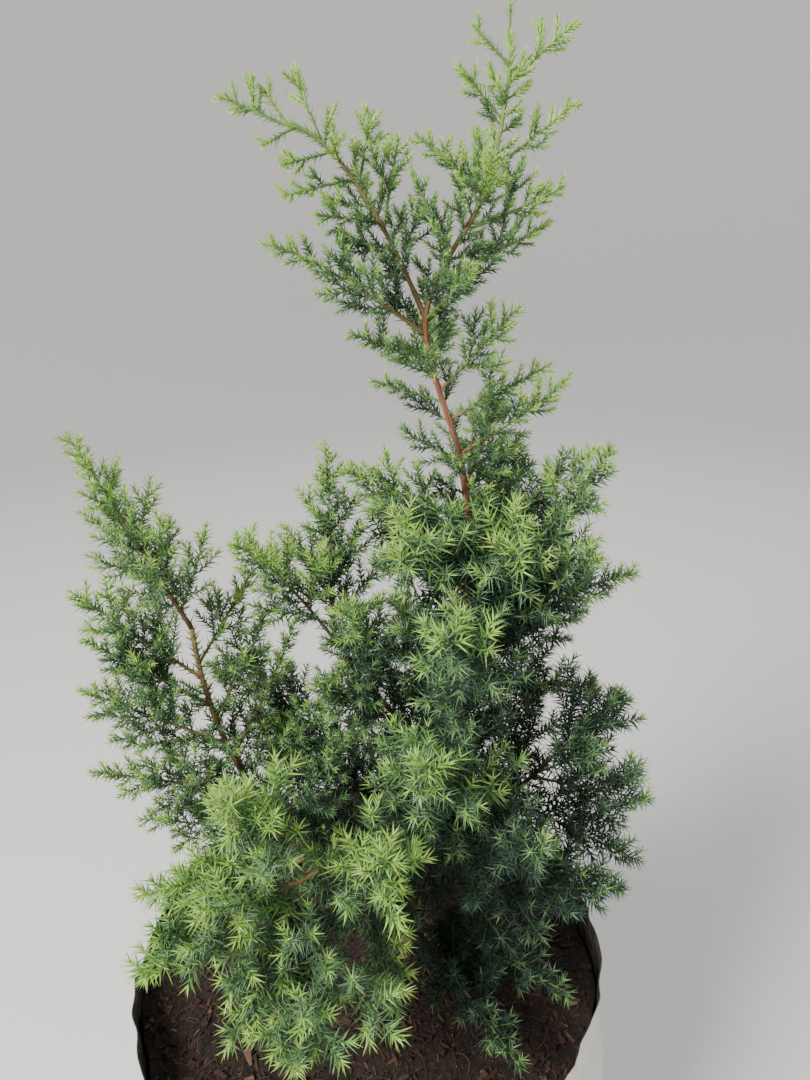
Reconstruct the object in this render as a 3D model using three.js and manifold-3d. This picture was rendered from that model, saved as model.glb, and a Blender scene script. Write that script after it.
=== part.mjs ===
// A young needle-leaved juniper in its film grow bag, in millimetres, +Z up.
// The origin is the middle of the bag's flat underside, and -Y is the side that is looked at.
// Every limb and every mass of foliage is worked out from one row of named sizes:
// where it leaves its carrier, which way it heads, how far it reaches and how far it climbs.

import * as THREE from 'three';
import { mergeVertices } from 'three/addons/utils/BufferGeometryUtils.js';
import Module from 'manifold-3d';

const wasm = await Module();
wasm.setup();

// Driving dimensions
const BAG_HEIGHT = 300;
const BAG_BASE_RADIUS = 140;
const BAG_BELLY_RADIUS = 158;
const BAG_CORNER = 26;
const BAG_WALL = 1.5;
const BAG_AROUND = 32;
const BAG_ROWS = [0, 3, 10, 26, 90, 160, 230, 272, 300];
const WAVY_ABOVE = 200;
const RIM_WAVE = 5;
const FOLD_DEPTH = 3.2;
const SOIL_LEVEL = 275;
const SOIL_SHARES = [0.9, 0.6, 0.3];
const GAP = 0.4;

const TRUNK_RADIUS = 5.6;
const TRUNK_TIP_RADIUS = 1.1;
const ROOT_FLARE = 4.2;
const ROOT_FLARE_HEIGHT = 22;
const TRUNK_SIDES = 8;
const TRUNK_STEPS = 34;
// The trunk's bends: height above the soil, place to the right, place away from the viewer.
const TRUNK_BENDS = [
  [0, 28, 10],
  [60, 42, 14],
  [160, 62, 20],
  [285, 78, 22],
  [360, 74, 18],
  [440, 57, 16],
  [500, 88, 14],
  [550, 100, 16],
  [566, 100, 17],
];

const LIMB_SIDES = 6;
const LIMB_STEPS = 7;
const STEM_RADIUS = 2.2;
const SHOOT_RADIUS = 1.8;
const SHOOT_TIP = 9;
const STEM_WHORLS = 4;
const TWIG_WHORLS = 2;
const WHORL_SPACING = 14.5;
const NEEDLE_LENGTH = 21;
const NEEDLE_ANGLE = 50;
const NEEDLE_SIZES = [1, 0.75, 0.5];
const NEEDLE_ROOM = 0.8;
const BARE_ROOT = 7;
const BARE_TWIG = 13;
const TWIG_SPACING = 6;
const TWIG_ANGLE = 50;
const TWIG_TURN = 140;
const TWIG_LIFT = 0.22;
const TWIG_TAPER = 0.85;
const TWIG_SHORTEST = 13;
const SOLID_EVERY = 4;
const SPACE_MARGIN = 3;

// Boughs: where each leaves its carrier (height above the soil on the trunk, or share of a
// bough's length), heading in degrees (0 right, 90 away, 180 left, 270 towards the viewer),
// reach, climb, sweep (above 0 it spreads first and then rises, below 0 the other way round),
// foot radius and tip radius.
const BOUGHS = {
  left_bough: { from: 'trunk', at: 20, heading: 183, reach: 120, climb: 252, sweep: 1.3, foot: 4.2, tip: 2.2 },
  front_bough: { from: 'trunk', at: 30, heading: 244, reach: 118, climb: 165, sweep: 0.3, foot: 3.8, tip: 2.2 },
  upper_left_bough: { from: 'trunk', at: 440, heading: 190, reach: 63, climb: 92, sweep: -0.8, foot: 2.2, tip: 1.6 },
  left_middle_bough: { from: 'trunk', at: 150, heading: 192, reach: 66, climb: 112, sweep: 0.2, foot: 3, tip: 2 },
  right_bough: { from: 'trunk', at: 88, heading: 6, reach: 82, climb: 62, sweep: 0.3, foot: 3.2, tip: 2 },
  back_left_bough: { from: 'trunk', at: 70, heading: 138, reach: 84, climb: 92, sweep: 0.3, foot: 3, tip: 2 },
  back_right_bough: { from: 'trunk', at: 115, heading: 62, reach: 72, climb: 74, sweep: 0.3, foot: 2.8, tip: 1.9 },
};

// Masses of foliage: the same sizes for each one's stem, and its longest side twig.
const MASSES = {
  leader_tip: { from: 'trunk', at: 566, heading: 60, reach: 2, climb: 26, sweep: 0, twig: 0 },
  leader_right_first: { from: 'trunk', at: 545, heading: 350, reach: 31, climb: 23, sweep: 0, twig: 20 },
  leader_left_second: { from: 'trunk', at: 530, heading: 193, reach: 21, climb: 23, sweep: 0, twig: 20 },
  leader_right_second: { from: 'trunk', at: 508, heading: 0, reach: 41, climb: 28, sweep: 0, twig: 20 },
  leader_left_third: { from: 'trunk', at: 498, heading: 190, reach: 33, climb: 28, sweep: 0, twig: 22 },
  leader_right_third: { from: 'trunk', at: 482, heading: 357, reach: 48, climb: 18, sweep: 0.2, twig: 26 },
  leader_front: { from: 'trunk', at: 490, heading: 276, reach: 40, climb: 24, sweep: 0, twig: 20 },
  leader_back: { from: 'trunk', at: 504, heading: 92, reach: 36, climb: 24, sweep: 0, twig: 18 },
  leader_right_fourth: { from: 'trunk', at: 460, heading: 5, reach: 57, climb: 24, sweep: 0.2, twig: 24 },
  upper_left_tip: { from: 'upper_left_bough', at: 1, heading: 188, reach: 29, climb: 13, sweep: 0, twig: 18 },
  upper_left_high: { from: 'upper_left_bough', at: 0.72, heading: 172, reach: 12, climb: 31, sweep: 0, twig: 22 },
  upper_left_inner: { from: 'upper_left_bough', at: 0.46, heading: 60, reach: 18, climb: 33, sweep: -0.2, twig: 24 },
  upper_left_low: { from: 'upper_left_bough', at: 0.5, heading: 205, reach: 36, climb: -6, sweep: 0.2, twig: 20 },
  second_left: { from: 'trunk', at: 432, heading: 197, reach: 80, climb: 50, sweep: -0.3, twig: 34 },
  third_left: { from: 'trunk', at: 416, heading: 206, reach: 45, climb: 22, sweep: 0, twig: 24 },
  third_right: { from: 'trunk', at: 402, heading: 338, reach: 43, climb: 44, sweep: 0, twig: 32 },
  third_back: { from: 'trunk', at: 404, heading: 92, reach: 62, climb: 28, sweep: 0.2, twig: 36 },
  fourth_right: { from: 'trunk', at: 366, heading: 352, reach: 58, climb: 42, sweep: 0.2, twig: 28 },
  fourth_back: { from: 'trunk', at: 345, heading: 70, reach: 74, climb: 34, sweep: 0.3, twig: 42 },
  fifth_left: { from: 'trunk', at: 325, heading: 192, reach: 70, climb: 40, sweep: 0.2, twig: 42 },
  middle_front_left: { from: 'trunk', at: 300, heading: 240, reach: 82, climb: 34, sweep: 0.2, twig: 62 },
  middle_front_right: { from: 'trunk', at: 285, heading: 285, reach: 72, climb: 48, sweep: 0.2, twig: 60 },
  middle_back: { from: 'trunk', at: 275, heading: 128, reach: 92, climb: 40, sweep: 0.3, twig: 48 },
  centre_front: { from: 'trunk', at: 235, heading: 262, reach: 104, climb: 72, sweep: 0.2, twig: 66 },
  right_middle_tip: { from: 'trunk', at: 256, heading: 344, reach: 80, climb: 116, sweep: 0.2, twig: 52 },
  right_middle_side: { from: 'trunk', at: 238, heading: 322, reach: 84, climb: 90, sweep: 0.2, twig: 56 },
  right_upper: { from: 'trunk', at: 224, heading: 346, reach: 101, climb: 73, sweep: -0.4, twig: 44 },
  right_tip: { from: 'right_bough', at: 0.75, heading: 350, reach: 78, climb: -13, sweep: 0, twig: 62 },
  right_high: { from: 'right_bough', at: 1, heading: 16, reach: 53, climb: 37, sweep: 0.2, twig: 54 },
  right_front_low: { from: 'trunk', at: 62, heading: 330, reach: 134, climb: 54, sweep: 0.3, twig: 62 },
  right_front_high: { from: 'trunk', at: 108, heading: 296, reach: 118, climb: 74, sweep: 0.2, twig: 62 },
  right_soil: { from: 'trunk', at: 28, heading: 320, reach: 121, climb: 14, sweep: 0, twig: 46 },
  front_soil: { from: 'trunk', at: 24, heading: 297, reach: 128, climb: 6, sweep: 0, twig: 46 },
  centre_low: { from: 'trunk', at: 130, heading: 264, reach: 114, climb: 116, sweep: 0.3, twig: 68 },
  left_middle_tip: { from: 'left_middle_bough', at: 1, heading: 84, reach: 25, climb: 110, sweep: 0.2, twig: 46 },
  left_middle_side: { from: 'left_middle_bough', at: 0.86, heading: 200, reach: 58, climb: 84, sweep: -0.4, twig: 44 },
  left_middle_front: { from: 'left_middle_bough', at: 0.6, heading: 264, reach: 41, climb: 83, sweep: 0.2, twig: 50 },
  left_top: { from: 'left_bough', at: 1, heading: 183, reach: 47, climb: 121, sweep: 0, twig: 47 },
  left_outer_high: { from: 'left_bough', at: 0.86, heading: 178, reach: 68, climb: 61, sweep: 0, twig: 50 },
  left_outer_low: { from: 'left_bough', at: 0.66, heading: 187, reach: 79, climb: 51, sweep: 0, twig: 52 },
  left_low: { from: 'left_bough', at: 0.36, heading: 186, reach: 93, climb: 25, sweep: 0, twig: 48 },
  left_inner: { from: 'left_bough', at: 0.62, heading: 29, reach: 53, climb: 87, sweep: 0.2, twig: 18 },
  front_top: { from: 'front_bough', at: 1, heading: 225, reach: 44, climb: 62, sweep: 0.2, twig: 46 },
  front_left: { from: 'front_bough', at: 0.86, heading: 205, reach: 100, climb: -20, sweep: 0, twig: 66 },
  front_right: { from: 'front_bough', at: 0.7, heading: 300, reach: 62, climb: 70, sweep: 0.2, twig: 54 },
  front_low: { from: 'front_bough', at: 0.62, heading: 252, reach: 84, climb: -30, sweep: 0.2, twig: 84 },
  back_left_tip: { from: 'back_left_bough', at: 1, heading: 175, reach: 84, climb: 42, sweep: 0.2, twig: 42 },
  back_left_low: { from: 'back_left_bough', at: 0.7, heading: 170, reach: 70, climb: 26, sweep: 0.2, twig: 50 },
  back_right_tip: { from: 'back_right_bough', at: 1, heading: 52, reach: 56, climb: 56, sweep: 0.2, twig: 58 },
  back_right_low: { from: 'back_right_bough', at: 0.6, heading: 84, reach: 84, climb: 10, sweep: 0.2, twig: 52 },
};

const COLOURS = {
  bag: 0x1c1d1f,
  mix: 0x3b2a20,
  bark: 0x8a5233,
  foliage: 0x4f7f3c,
};

const UP = new THREE.Vector3(0, 0, 1);

const radians = (degrees) => (degrees * Math.PI) / 180;

// A repeatable number from 0 to 1 for three whole numbers.
function chance(a, b, c) {
  let h = Math.imul(a + 1, 73856093) ^ Math.imul(b + 1, 19349663) ^ Math.imul(c + 1, 83492791);
  h = Math.imul(h ^ (h >>> 13), 1274126177);
  return ((h ^ (h >>> 16)) >>> 0) / 4294967296;
}

// A limb's path: reach and climb grow with the share t, one of them ahead of the other.
class Sweep extends THREE.Curve {
  constructor(start, { heading, reach, climb, sweep }) {
    super();
    this.start = start;
    this.flat = new THREE.Vector3(Math.cos(radians(heading)), Math.sin(radians(heading)), 0);
    this.reach = reach;
    this.climb = climb;
    this.sweep = sweep;
  }

  getPoint(t, target = new THREE.Vector3()) {
    const ahead = 1 - (1 - t) ** (1 + Math.abs(this.sweep));
    const out = this.reach * (this.sweep >= 0 ? ahead : t);
    const up = this.climb * (this.sweep >= 0 ? t : ahead);
    return target.copy(this.start).addScaledVector(this.flat, out).addScaledVector(UP, up);
  }
}

// A side twig's path: straight out, bent up towards the light by the square of the way along.
class Twig extends THREE.Curve {
  constructor(start, direction, length) {
    super();
    this.start = start;
    this.direction = direction;
    this.length = length;
  }

  getPoint(t, target = new THREE.Vector3()) {
    const lift = TWIG_LIFT * this.length * t * t;
    return target.copy(this.start).addScaledVector(this.direction, this.length * t).addScaledVector(UP, lift);
  }
}

// The part of a curve between two shares of its length.
class Stretch extends THREE.Curve {
  constructor(curve, first, last) {
    super();
    this.curve = curve;
    this.first = first;
    this.last = last;
  }

  getPoint(t, target = new THREE.Vector3()) {
    return this.curve.getPoint(this.first + (this.last - this.first) * t, target);
  }
}

// Two directions square to a curve's tangent, with the first kept level.
function frameAt(curve, t) {
  const tangent = curve.getTangent(t);
  const level = new THREE.Vector3().crossVectors(UP, tangent);
  if (level.length() < 0.05) level.set(1, 0, 0);
  level.normalize();
  const steep = new THREE.Vector3().crossVectors(tangent, level).normalize();
  return { tangent, level, steep };
}

function solidOf(geometry) {
  const merged = mergeVertices(geometry, 1e-4);
  const mesh = new wasm.Mesh({
    numProp: 3,
    vertProperties: new Float32Array(merged.attributes.position.array),
    triVerts: new Uint32Array(merged.index.array),
  });
  return new wasm.Manifold(mesh);
}

function geometryOf(solid) {
  const mesh = solid.getMesh();
  const geometry = new THREE.BufferGeometry();
  geometry.setAttribute('position', new THREE.BufferAttribute(new Float32Array(mesh.vertProperties), 3));
  geometry.setIndex(new THREE.BufferAttribute(new Uint32Array(mesh.triVerts), 1));
  return geometry;
}

const group = new THREE.Group();

function addNode(name, geometry, colour, roughness) {
  const material = new THREE.MeshStandardMaterial({ color: colour, roughness, metalness: 0 });
  const mesh = new THREE.Mesh(geometry, material);
  mesh.name = name;
  group.add(mesh);
}

// A closed shell from rows of points, each row a ring, with a point closing each end. From the
// row turnedFrom on, the squares are split the other way, to match a wall that runs upwards.
function shellGeometry(rings, firstPoint, lastPoint, turnedFrom = Infinity) {
  const around = rings[0].length;
  const positions = [firstPoint, ...rings.flat(), lastPoint].flatMap((p) => [p.x, p.y, p.z]);
  const last = rings.length * around + 1;
  const index = [];
  const place = (row, k) => 1 + row * around + (k % around);
  for (let k = 0; k < around; k += 1) {
    index.push(0, place(0, k + 1), place(0, k));
    index.push(last, place(rings.length - 1, k), place(rings.length - 1, k + 1));
    for (let row = 0; row < rings.length - 1; row += 1) {
      const turned = row >= turnedFrom ? 1 : 0;
      index.push(place(row, k), place(row, k + 1), place(row + 1, k + 1 - turned));
      index.push(place(row, k + turned), place(row + 1, k + 1), place(row + 1, k));
    }
  }
  const geometry = new THREE.BufferGeometry();
  geometry.setAttribute('position', new THREE.Float32BufferAttribute(positions, 3));
  geometry.setIndex(index);
  return geometry;
}

// The bag's outer radius: a rounded foot, a full belly, and folds that deepen towards the rim.
function bagRadius(angle, height) {
  const corner = Math.sqrt(Math.max(0, 1 - (1 - Math.min(height, BAG_CORNER) / BAG_CORNER) ** 2));
  const belly = Math.sin(Math.PI * Math.min(1, height / (BAG_HEIGHT * 1.25)));
  const foot = BAG_BASE_RADIUS + 10 * corner;
  const body = foot + (BAG_BELLY_RADIUS - BAG_BASE_RADIUS - 10) * belly;
  const slack = THREE.MathUtils.smoothstep(height, 40, BAG_HEIGHT);
  const folds = 0.6 * Math.cos(5 * angle + 0.4) + 0.4 * Math.cos(9 * angle + 2.1);
  return body + FOLD_DEPTH * slack * folds + 3 * slack;
}

// The rim stands in slow waves round the soil.
function rimHeight(angle) {
  return BAG_HEIGHT - RIM_WAVE + RIM_WAVE * (0.6 * Math.cos(3 * angle + 1.2) + 0.4 * Math.cos(7 * angle));
}

function ringPoints(radiusAt, heightAt) {
  return Array.from({ length: BAG_AROUND }, (_, k) => {
    const angle = (k / BAG_AROUND) * 2 * Math.PI;
    const radius = radiusAt(angle);
    return new THREE.Vector3(radius * Math.cos(angle), radius * Math.sin(angle), heightAt(angle));
  });
}

// A row of the bag's wall, which follows the wavy rim in its upper part.
function bagRing(row, inset, lift = 0) {
  const share = row / BAG_HEIGHT;
  const heightAt = row > WAVY_ABOVE ? (angle) => share * rimHeight(angle) : () => row + lift;
  return ringPoints((angle) => bagRadius(angle, row) - inset, heightAt);
}

function bagGeometry() {
  const outside = BAG_ROWS.map((row) => bagRing(row, 0));
  const inside = BAG_ROWS.slice(1).reverse().map((row) => bagRing(row, BAG_WALL));
  const under = new THREE.Vector3(0, 0, 0);
  const floor = new THREE.Vector3(0, 0, BAG_ROWS[1]);
  return shellGeometry([...outside, ...inside], under, floor, outside.length);
}

// The soil's surface: level round the trunk, with low waves away from it.
function soilHeight(x, y) {
  const foot = Math.hypot(x - TRUNK_BENDS[0][1], y - TRUNK_BENDS[0][2]);
  const away = THREE.MathUtils.smoothstep(foot, 24, 70);
  return SOIL_LEVEL + away * (2.5 * Math.sin(x / 31 + 0.6) * Math.cos(y / 37) - 3);
}

// The filling: the bag's inner wall less a gap, closed by the soil's surface.
function mixGeometry() {
  const inset = BAG_WALL + GAP;
  const [floor, ...rows] = BAG_ROWS.slice(1, -1);
  const walls = [bagRing(floor, inset, GAP), ...rows.map((row) => bagRing(row, inset))];
  const edge = rows[rows.length - 1];
  const surface = SOIL_SHARES.map((share) =>
    ringPoints((angle) => (bagRadius(angle, edge) - inset) * share, () => 0)
      .map((point) => point.setZ(soilHeight(point.x, point.y))));
  const bottom = new THREE.Vector3(0, 0, floor + GAP);
  const top = new THREE.Vector3(0, 0, soilHeight(0, 0));
  return shellGeometry([...walls, ...surface], bottom, top);
}

// A round limb: rings carried along a curve, its radius and section given by functions.
function limbGeometry(curve, steps, sides, radiusAt) {
  const rings = [];
  for (let i = 0; i <= steps; i += 1) {
    const t = i / steps;
    const { level, steep } = frameAt(curve, t);
    const centre = curve.getPoint(t);
    rings.push(Array.from({ length: sides }, (_, k) => {
      const angle = (k / sides) * 2 * Math.PI;
      const radius = radiusAt(t, angle);
      return centre.clone()
        .addScaledVector(level, radius * Math.cos(angle))
        .addScaledVector(steep, radius * Math.sin(angle));
    }));
  }
  return shellGeometry(rings, curve.getPoint(0), curve.getPoint(1));
}

const trunkPath = new THREE.CatmullRomCurve3(
  TRUNK_BENDS.map(([height, right, away]) => new THREE.Vector3(right, away, SOIL_LEVEL + height)),
  false,
  'catmullrom',
  0.5,
);

const trunkHeightAt = (height) => {
  let low = 0;
  let high = 1;
  for (let i = 0; i < 40; i += 1) {
    const middle = (low + high) / 2;
    if (trunkPath.getPoint(middle).z < SOIL_LEVEL + height) low = middle;
    else high = middle;
  }
  return (low + high) / 2;
};

const trunkRadius = (t) => TRUNK_TIP_RADIUS + (TRUNK_RADIUS - TRUNK_TIP_RADIUS) * (1 - t) ** 1.15;

// The trunk stands on a level cut, with a root flare of four low ridges.
function trunkGeometry() {
  const rings = [];
  for (let i = 0; i <= TRUNK_STEPS; i += 1) {
    const t = (i / TRUNK_STEPS) ** 1.25;
    const centre = trunkPath.getPoint(t);
    const height = centre.z - SOIL_LEVEL;
    const flare = ROOT_FLARE * Math.exp(-height / (ROOT_FLARE_HEIGHT / 2));
    const { tangent } = frameAt(trunkPath, t);
    rings.push(Array.from({ length: TRUNK_SIDES }, (_, k) => {
      const angle = (k / TRUNK_SIDES) * 2 * Math.PI;
      const radius = trunkRadius(t) + flare * (1 + 0.5 * Math.cos(4 * angle + 0.5));
      const point = new THREE.Vector3(radius * Math.cos(angle), radius * Math.sin(angle), 0);
      point.z = -(point.x * tangent.x + point.y * tangent.y) / tangent.z * Math.min(1, height / 30);
      return point.add(centre);
    }));
  }
  const foot = trunkPath.getPoint(0);
  const top = trunkPath.getPoint(1);
  const geometry = shellGeometry(rings, foot, top);
  return geometry.translate(0, 0, GAP);
}

// Limbs keep their path, radius and sampled points, so that others can leave them and keep clear.
const SAMPLES = 24;
const limbs = {
  trunk: { curve: trunkPath, radiusAt: trunkRadius },
};

function samplesOf(curve) {
  return Array.from({ length: SAMPLES + 1 }, (_, i) => curve.getPoint(i / SAMPLES));
}

function nearest(point, samples) {
  let best = Infinity;
  let share = 0;
  const line = new THREE.Line3();
  const foot = new THREE.Vector3();
  for (let i = 0; i < samples.length - 1; i += 1) {
    line.set(samples[i], samples[i + 1]);
    line.closestPointToPoint(point, true, foot);
    const distance = foot.distanceTo(point);
    if (distance < best) {
      best = distance;
      share = (i + line.closestPointToPointParameter(point, true)) / (samples.length - 1);
    }
  }
  return { distance: best, share };
}

limbs.trunk.samples = samplesOf(trunkPath);

// A limb or stem begins where it has come out of its carrier's bark, a gap clear of it.
function clearOfCarrier(curve, carrier, radius) {
  const steps = 200;
  for (let i = 0; i < steps; i += 1) {
    const t = i / steps;
    const { distance, share } = nearest(curve.getPoint(t), carrier.samples);
    const { tangent } = frameAt(curve, t);
    const along = Math.abs(carrier.curve.getTangent(share).dot(tangent));
    if (distance > carrier.radiusAt(share) + radius * along + GAP) return new Stretch(curve, t, 1);
  }
  throw new Error('a limb never leaves its carrier');
}

function startOn(row) {
  if (row.from === 'trunk') return trunkPath.getPoint(trunkHeightAt(row.at));
  return limbs[row.from].curve.getPoint(row.at);
}

// A mass that carries on from a bough's tip starts a gap past it, more where it turns away.
function pastTheTip(row, radius) {
  const bough = limbs[row.from].curve;
  const ahead = bough.getTangent(1);
  const turned = new Sweep(startOn(row), row).getTangent(0).cross(ahead).length();
  const start = startOn(row).addScaledVector(ahead, GAP + radius * turned);
  return new Sweep(start, row);
}

function growLimb(row, radius) {
  if (row.from !== 'trunk' && row.at === 1) return pastTheTip(row, radius);
  return clearOfCarrier(new Sweep(startOn(row), row), limbs[row.from], radius);
}

Object.entries(BOUGHS).forEach(([name, row]) => {
  const curve = growLimb(row, row.foot);
  const radiusAt = (t) => row.foot + (row.tip - row.foot) * t;
  limbs[name] = { curve, radiusAt, samples: samplesOf(curve) };
});

const stems = Object.entries(MASSES).map(([name, row], number) => {
  const curve = growLimb(row, STEM_RADIUS);
  return { name, row, number, curve, samples: samplesOf(curve) };
});

// How far a point lies inside a mass's own space: nearer to its stem than to any other stem,
// and clear of the trunk and boughs.
function roomAt(point, own) {
  let room = Infinity;
  const mine = nearest(point, own.samples).distance;
  stems.forEach((stem) => {
    if (stem === own) return;
    room = Math.min(room, (nearest(point, stem.samples).distance - mine) / 2);
  });
  Object.values(limbs).forEach((limb) => {
    const { distance, share } = nearest(point, limb.samples);
    room = Math.min(room, distance - limb.radiusAt(share) - GAP);
  });
  return Math.min(room, point.z - SOIL_LEVEL - 2);
}

// A needle fits where its tip and its middle both stay in the mass's own space.
function fits(tip, root, own) {
  const middle = root.clone().lerp(tip, 0.5);
  return roomAt(tip, own) > NEEDLE_ROOM && roomAt(middle, own) > NEEDLE_ROOM;
}

// A twig with its needles: a slim three-sided core, turned by a sixth of a turn from ring to
// ring, and each face between two rings drawn out into one needle that points out and forward.
function shootGeometry(curve, radius, own, seed, fewest, bare) {
  const length = curve.getLength();
  const body = Math.max(fewest, Math.round((length - SHOOT_TIP) / WHORL_SPACING));
  const core = (length - SHOOT_TIP) / length;
  const points = [];
  const index = [];
  const ringCentres = [];
  for (let i = 0; i <= body; i += 1) {
    const t = (core * i) / body;
    const { tangent, level, steep } = frameAt(curve, t);
    const centre = curve.getPoint(t);
    ringCentres.push({ centre, tangent });
    const size = radius * (1 - 0.45 * (i / body));
    for (let k = 0; k < 3; k += 1) {
      const angle = radians(60 * i + 120 * k + 40 * seed);
      points.push(centre.clone()
        .addScaledVector(level, size * Math.cos(angle))
        .addScaledVector(steep, size * Math.sin(angle)));
    }
  }
  const needle = (a, b, c, ring) => {
    const middle = points[a].clone().add(points[b]).add(points[c]).divideScalar(3);
    const { centre, tangent } = ringCentres[ring];
    const outward = middle.clone().sub(centre);
    outward.addScaledVector(tangent, -outward.dot(tangent)).normalize();
    const reach = NEEDLE_LENGTH * (0.85 + 0.3 * chance(seed, a, c));
    const apex = middle.clone()
      .addScaledVector(outward, reach * Math.sin(radians(NEEDLE_ANGLE)))
      .addScaledVector(tangent, reach * Math.cos(radians(NEEDLE_ANGLE)));
    const naked = middle.distanceTo(ringCentres[0].centre) < bare;
    const size = NEEDLE_SIZES.find((share) => fits(middle.clone().lerp(apex, share), middle, own));
    if (naked || !size) {
      index.push(a, b, c);
      return;
    }
    points.push(middle.clone().lerp(apex, size));
    const tip = points.length - 1;
    index.push(a, b, tip, b, c, tip, c, a, tip);
  };
  index.push(0, 2, 1);
  for (let i = 0; i < body; i += 1) {
    for (let k = 0; k < 3; k += 1) {
      const next = (k + 1) % 3;
      needle(3 * i + k, 3 * i + next, 3 * i + 3 + k, i);
      needle(3 * i + next, 3 * i + 3 + next, 3 * i + 3 + k, i);
    }
  }
  points.push(curve.getPoint(1));
  const end = points.length - 1;
  for (let k = 0; k < 3; k += 1) index.push(3 * body + k, 3 * body + ((k + 1) % 3), end);
  const geometry = new THREE.BufferGeometry();
  geometry.setAttribute('position', new THREE.Float32BufferAttribute(points.flatMap((p) => [p.x, p.y, p.z]), 3));
  geometry.setIndex(index);
  return geometry;
}

// How much of a twig stays in its mass's own space, as a share of its length.
function shareInside(curve, own) {
  const steps = 12;
  let share = 0;
  for (let i = 3; i <= steps; i += 1) {
    if (roomAt(curve.getPoint(i / steps), own) < SPACE_MARGIN) return share;
    share = i / steps;
  }
  return share;
}

// The side twigs of a stem: evenly spaced along it, each turned on from the last by the same
// angle, shorter towards its tip. Only one twig in SOLID_EVERY is thick enough for a solid.
function twigsOf(stem) {
  const length = stem.curve.getLength();
  const count = Math.floor((length - BARE_ROOT) / TWIG_SPACING);
  const twigs = [];
  for (let k = 0; k < count; k += SOLID_EVERY) {
    const t = (BARE_ROOT + TWIG_SPACING * (k + 1)) / length;
    const { tangent, level, steep } = frameAt(stem.curve, t);
    const turn = radians(TWIG_TURN * k + 90 * stem.number);
    const spread = radians(TWIG_ANGLE);
    const direction = tangent.clone().multiplyScalar(Math.cos(spread))
      .addScaledVector(level, Math.sin(spread) * Math.cos(turn))
      .addScaledVector(steep, Math.sin(spread) * Math.sin(turn));
    const size = stem.row.twig * (1 - t) ** TWIG_TAPER * (0.85 + 0.3 * chance(stem.number, k, 7));
    if (size < TWIG_SHORTEST) continue;
    const start = stem.curve.getPoint(t);
    const whole = new Twig(start, direction, size);
    const share = shareInside(whole, stem);
    if (share * size < TWIG_SHORTEST) continue;
    twigs.push(new Stretch(whole, 0, share));
  }
  return twigs;
}

// The largest piece of a fused solid, with any hollow sealed in it filled.
function largestPiece(solid) {
  const pieces = solid.decompose();
  return pieces.reduce((best, piece) => (piece.volume() > best.volume() ? piece : best));
}

function massGeometry(stem) {
  let solid = solidOf(shootGeometry(stem.curve, STEM_RADIUS, stem, stem.number, STEM_WHORLS, BARE_ROOT));
  twigsOf(stem).forEach((twig, k) => {
    const seed = stem.number + 7 * (k + 1);
    solid = solid.add(solidOf(shootGeometry(twig, SHOOT_RADIUS, stem, seed, TWIG_WHORLS, BARE_TWIG)));
  });
  return geometryOf(largestPiece(solid));
}

addNode('grow_bag', bagGeometry(), COLOURS.bag, 0.55);
addNode('potting_mix', mixGeometry(), COLOURS.mix, 0.95);
addNode('trunk', trunkGeometry(), COLOURS.bark, 0.85);
Object.keys(BOUGHS).forEach((name) => {
  const { curve, radiusAt } = limbs[name];
  addNode(name, limbGeometry(curve, LIMB_STEPS, LIMB_SIDES, radiusAt), COLOURS.bark, 0.85);
});
stems.forEach((stem) => addNode(stem.name, massGeometry(stem), COLOURS.foliage, 0.7));

export default group;
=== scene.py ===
"""A young needle-leaved juniper in its film grow bag, dressed for a close look.

The boughs, stems and side twigs grow by the same rule as the solids, and go on from there to
finer twigs and to every needle. Lengths are in millimetres, as in the solids, and become
metres when a mesh is made.
"""

import math

import bpy
import numpy as np
from mathutils import Matrix


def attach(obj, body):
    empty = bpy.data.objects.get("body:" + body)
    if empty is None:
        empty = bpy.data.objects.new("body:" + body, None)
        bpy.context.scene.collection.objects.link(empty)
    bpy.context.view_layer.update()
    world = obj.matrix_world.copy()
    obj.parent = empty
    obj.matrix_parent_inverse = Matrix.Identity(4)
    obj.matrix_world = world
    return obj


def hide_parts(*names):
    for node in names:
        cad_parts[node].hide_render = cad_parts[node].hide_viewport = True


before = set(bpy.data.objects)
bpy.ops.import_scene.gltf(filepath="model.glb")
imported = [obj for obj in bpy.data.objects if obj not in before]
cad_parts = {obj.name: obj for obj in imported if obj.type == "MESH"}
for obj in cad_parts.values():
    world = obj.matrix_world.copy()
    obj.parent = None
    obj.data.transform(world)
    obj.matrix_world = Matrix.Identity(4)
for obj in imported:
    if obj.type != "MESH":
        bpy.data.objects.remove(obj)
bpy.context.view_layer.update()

MM = 0.001
UP = np.array([0.0, 0.0, 1.0])

# The bag
BAG_HEIGHT = 300
BAG_BASE_RADIUS = 140
BAG_BELLY_RADIUS = 158
BAG_CORNER = 26
CORNER_OUT = 10
BELLY_RISE = 1.25
BAG_WALL = 1.5
BAG_FLOOR = 3
RIM_WALL = 0.5
RIM_OUT = 3
RIM_WAVE = 5
WAVY_ABOVE = 200
FOLD_DEPTH = 3.2
LIP = 1.6
LIP_HEIGHT = 7

# The film's creases: cells of noise around and up, slant, seed, depth, and for ridges a power
CREASES = {
    "dents": ((13, 7), 0.06, 3, 3.0),
    "lumps": ((46, 24), 0, 4, 1.1),
    "rightward": ((17, 6), 0.2, 5, 3.0, 6),
    "leftward": ((21, 7), -0.26, 7, 2.6, 6),
    "buckles": ((9, 17), 0, 8, 1.8, 5),
    "pleats": ((64, 5), -0.02, 6, 3.4),
}
CREASE_MEAN = 1.5

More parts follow.
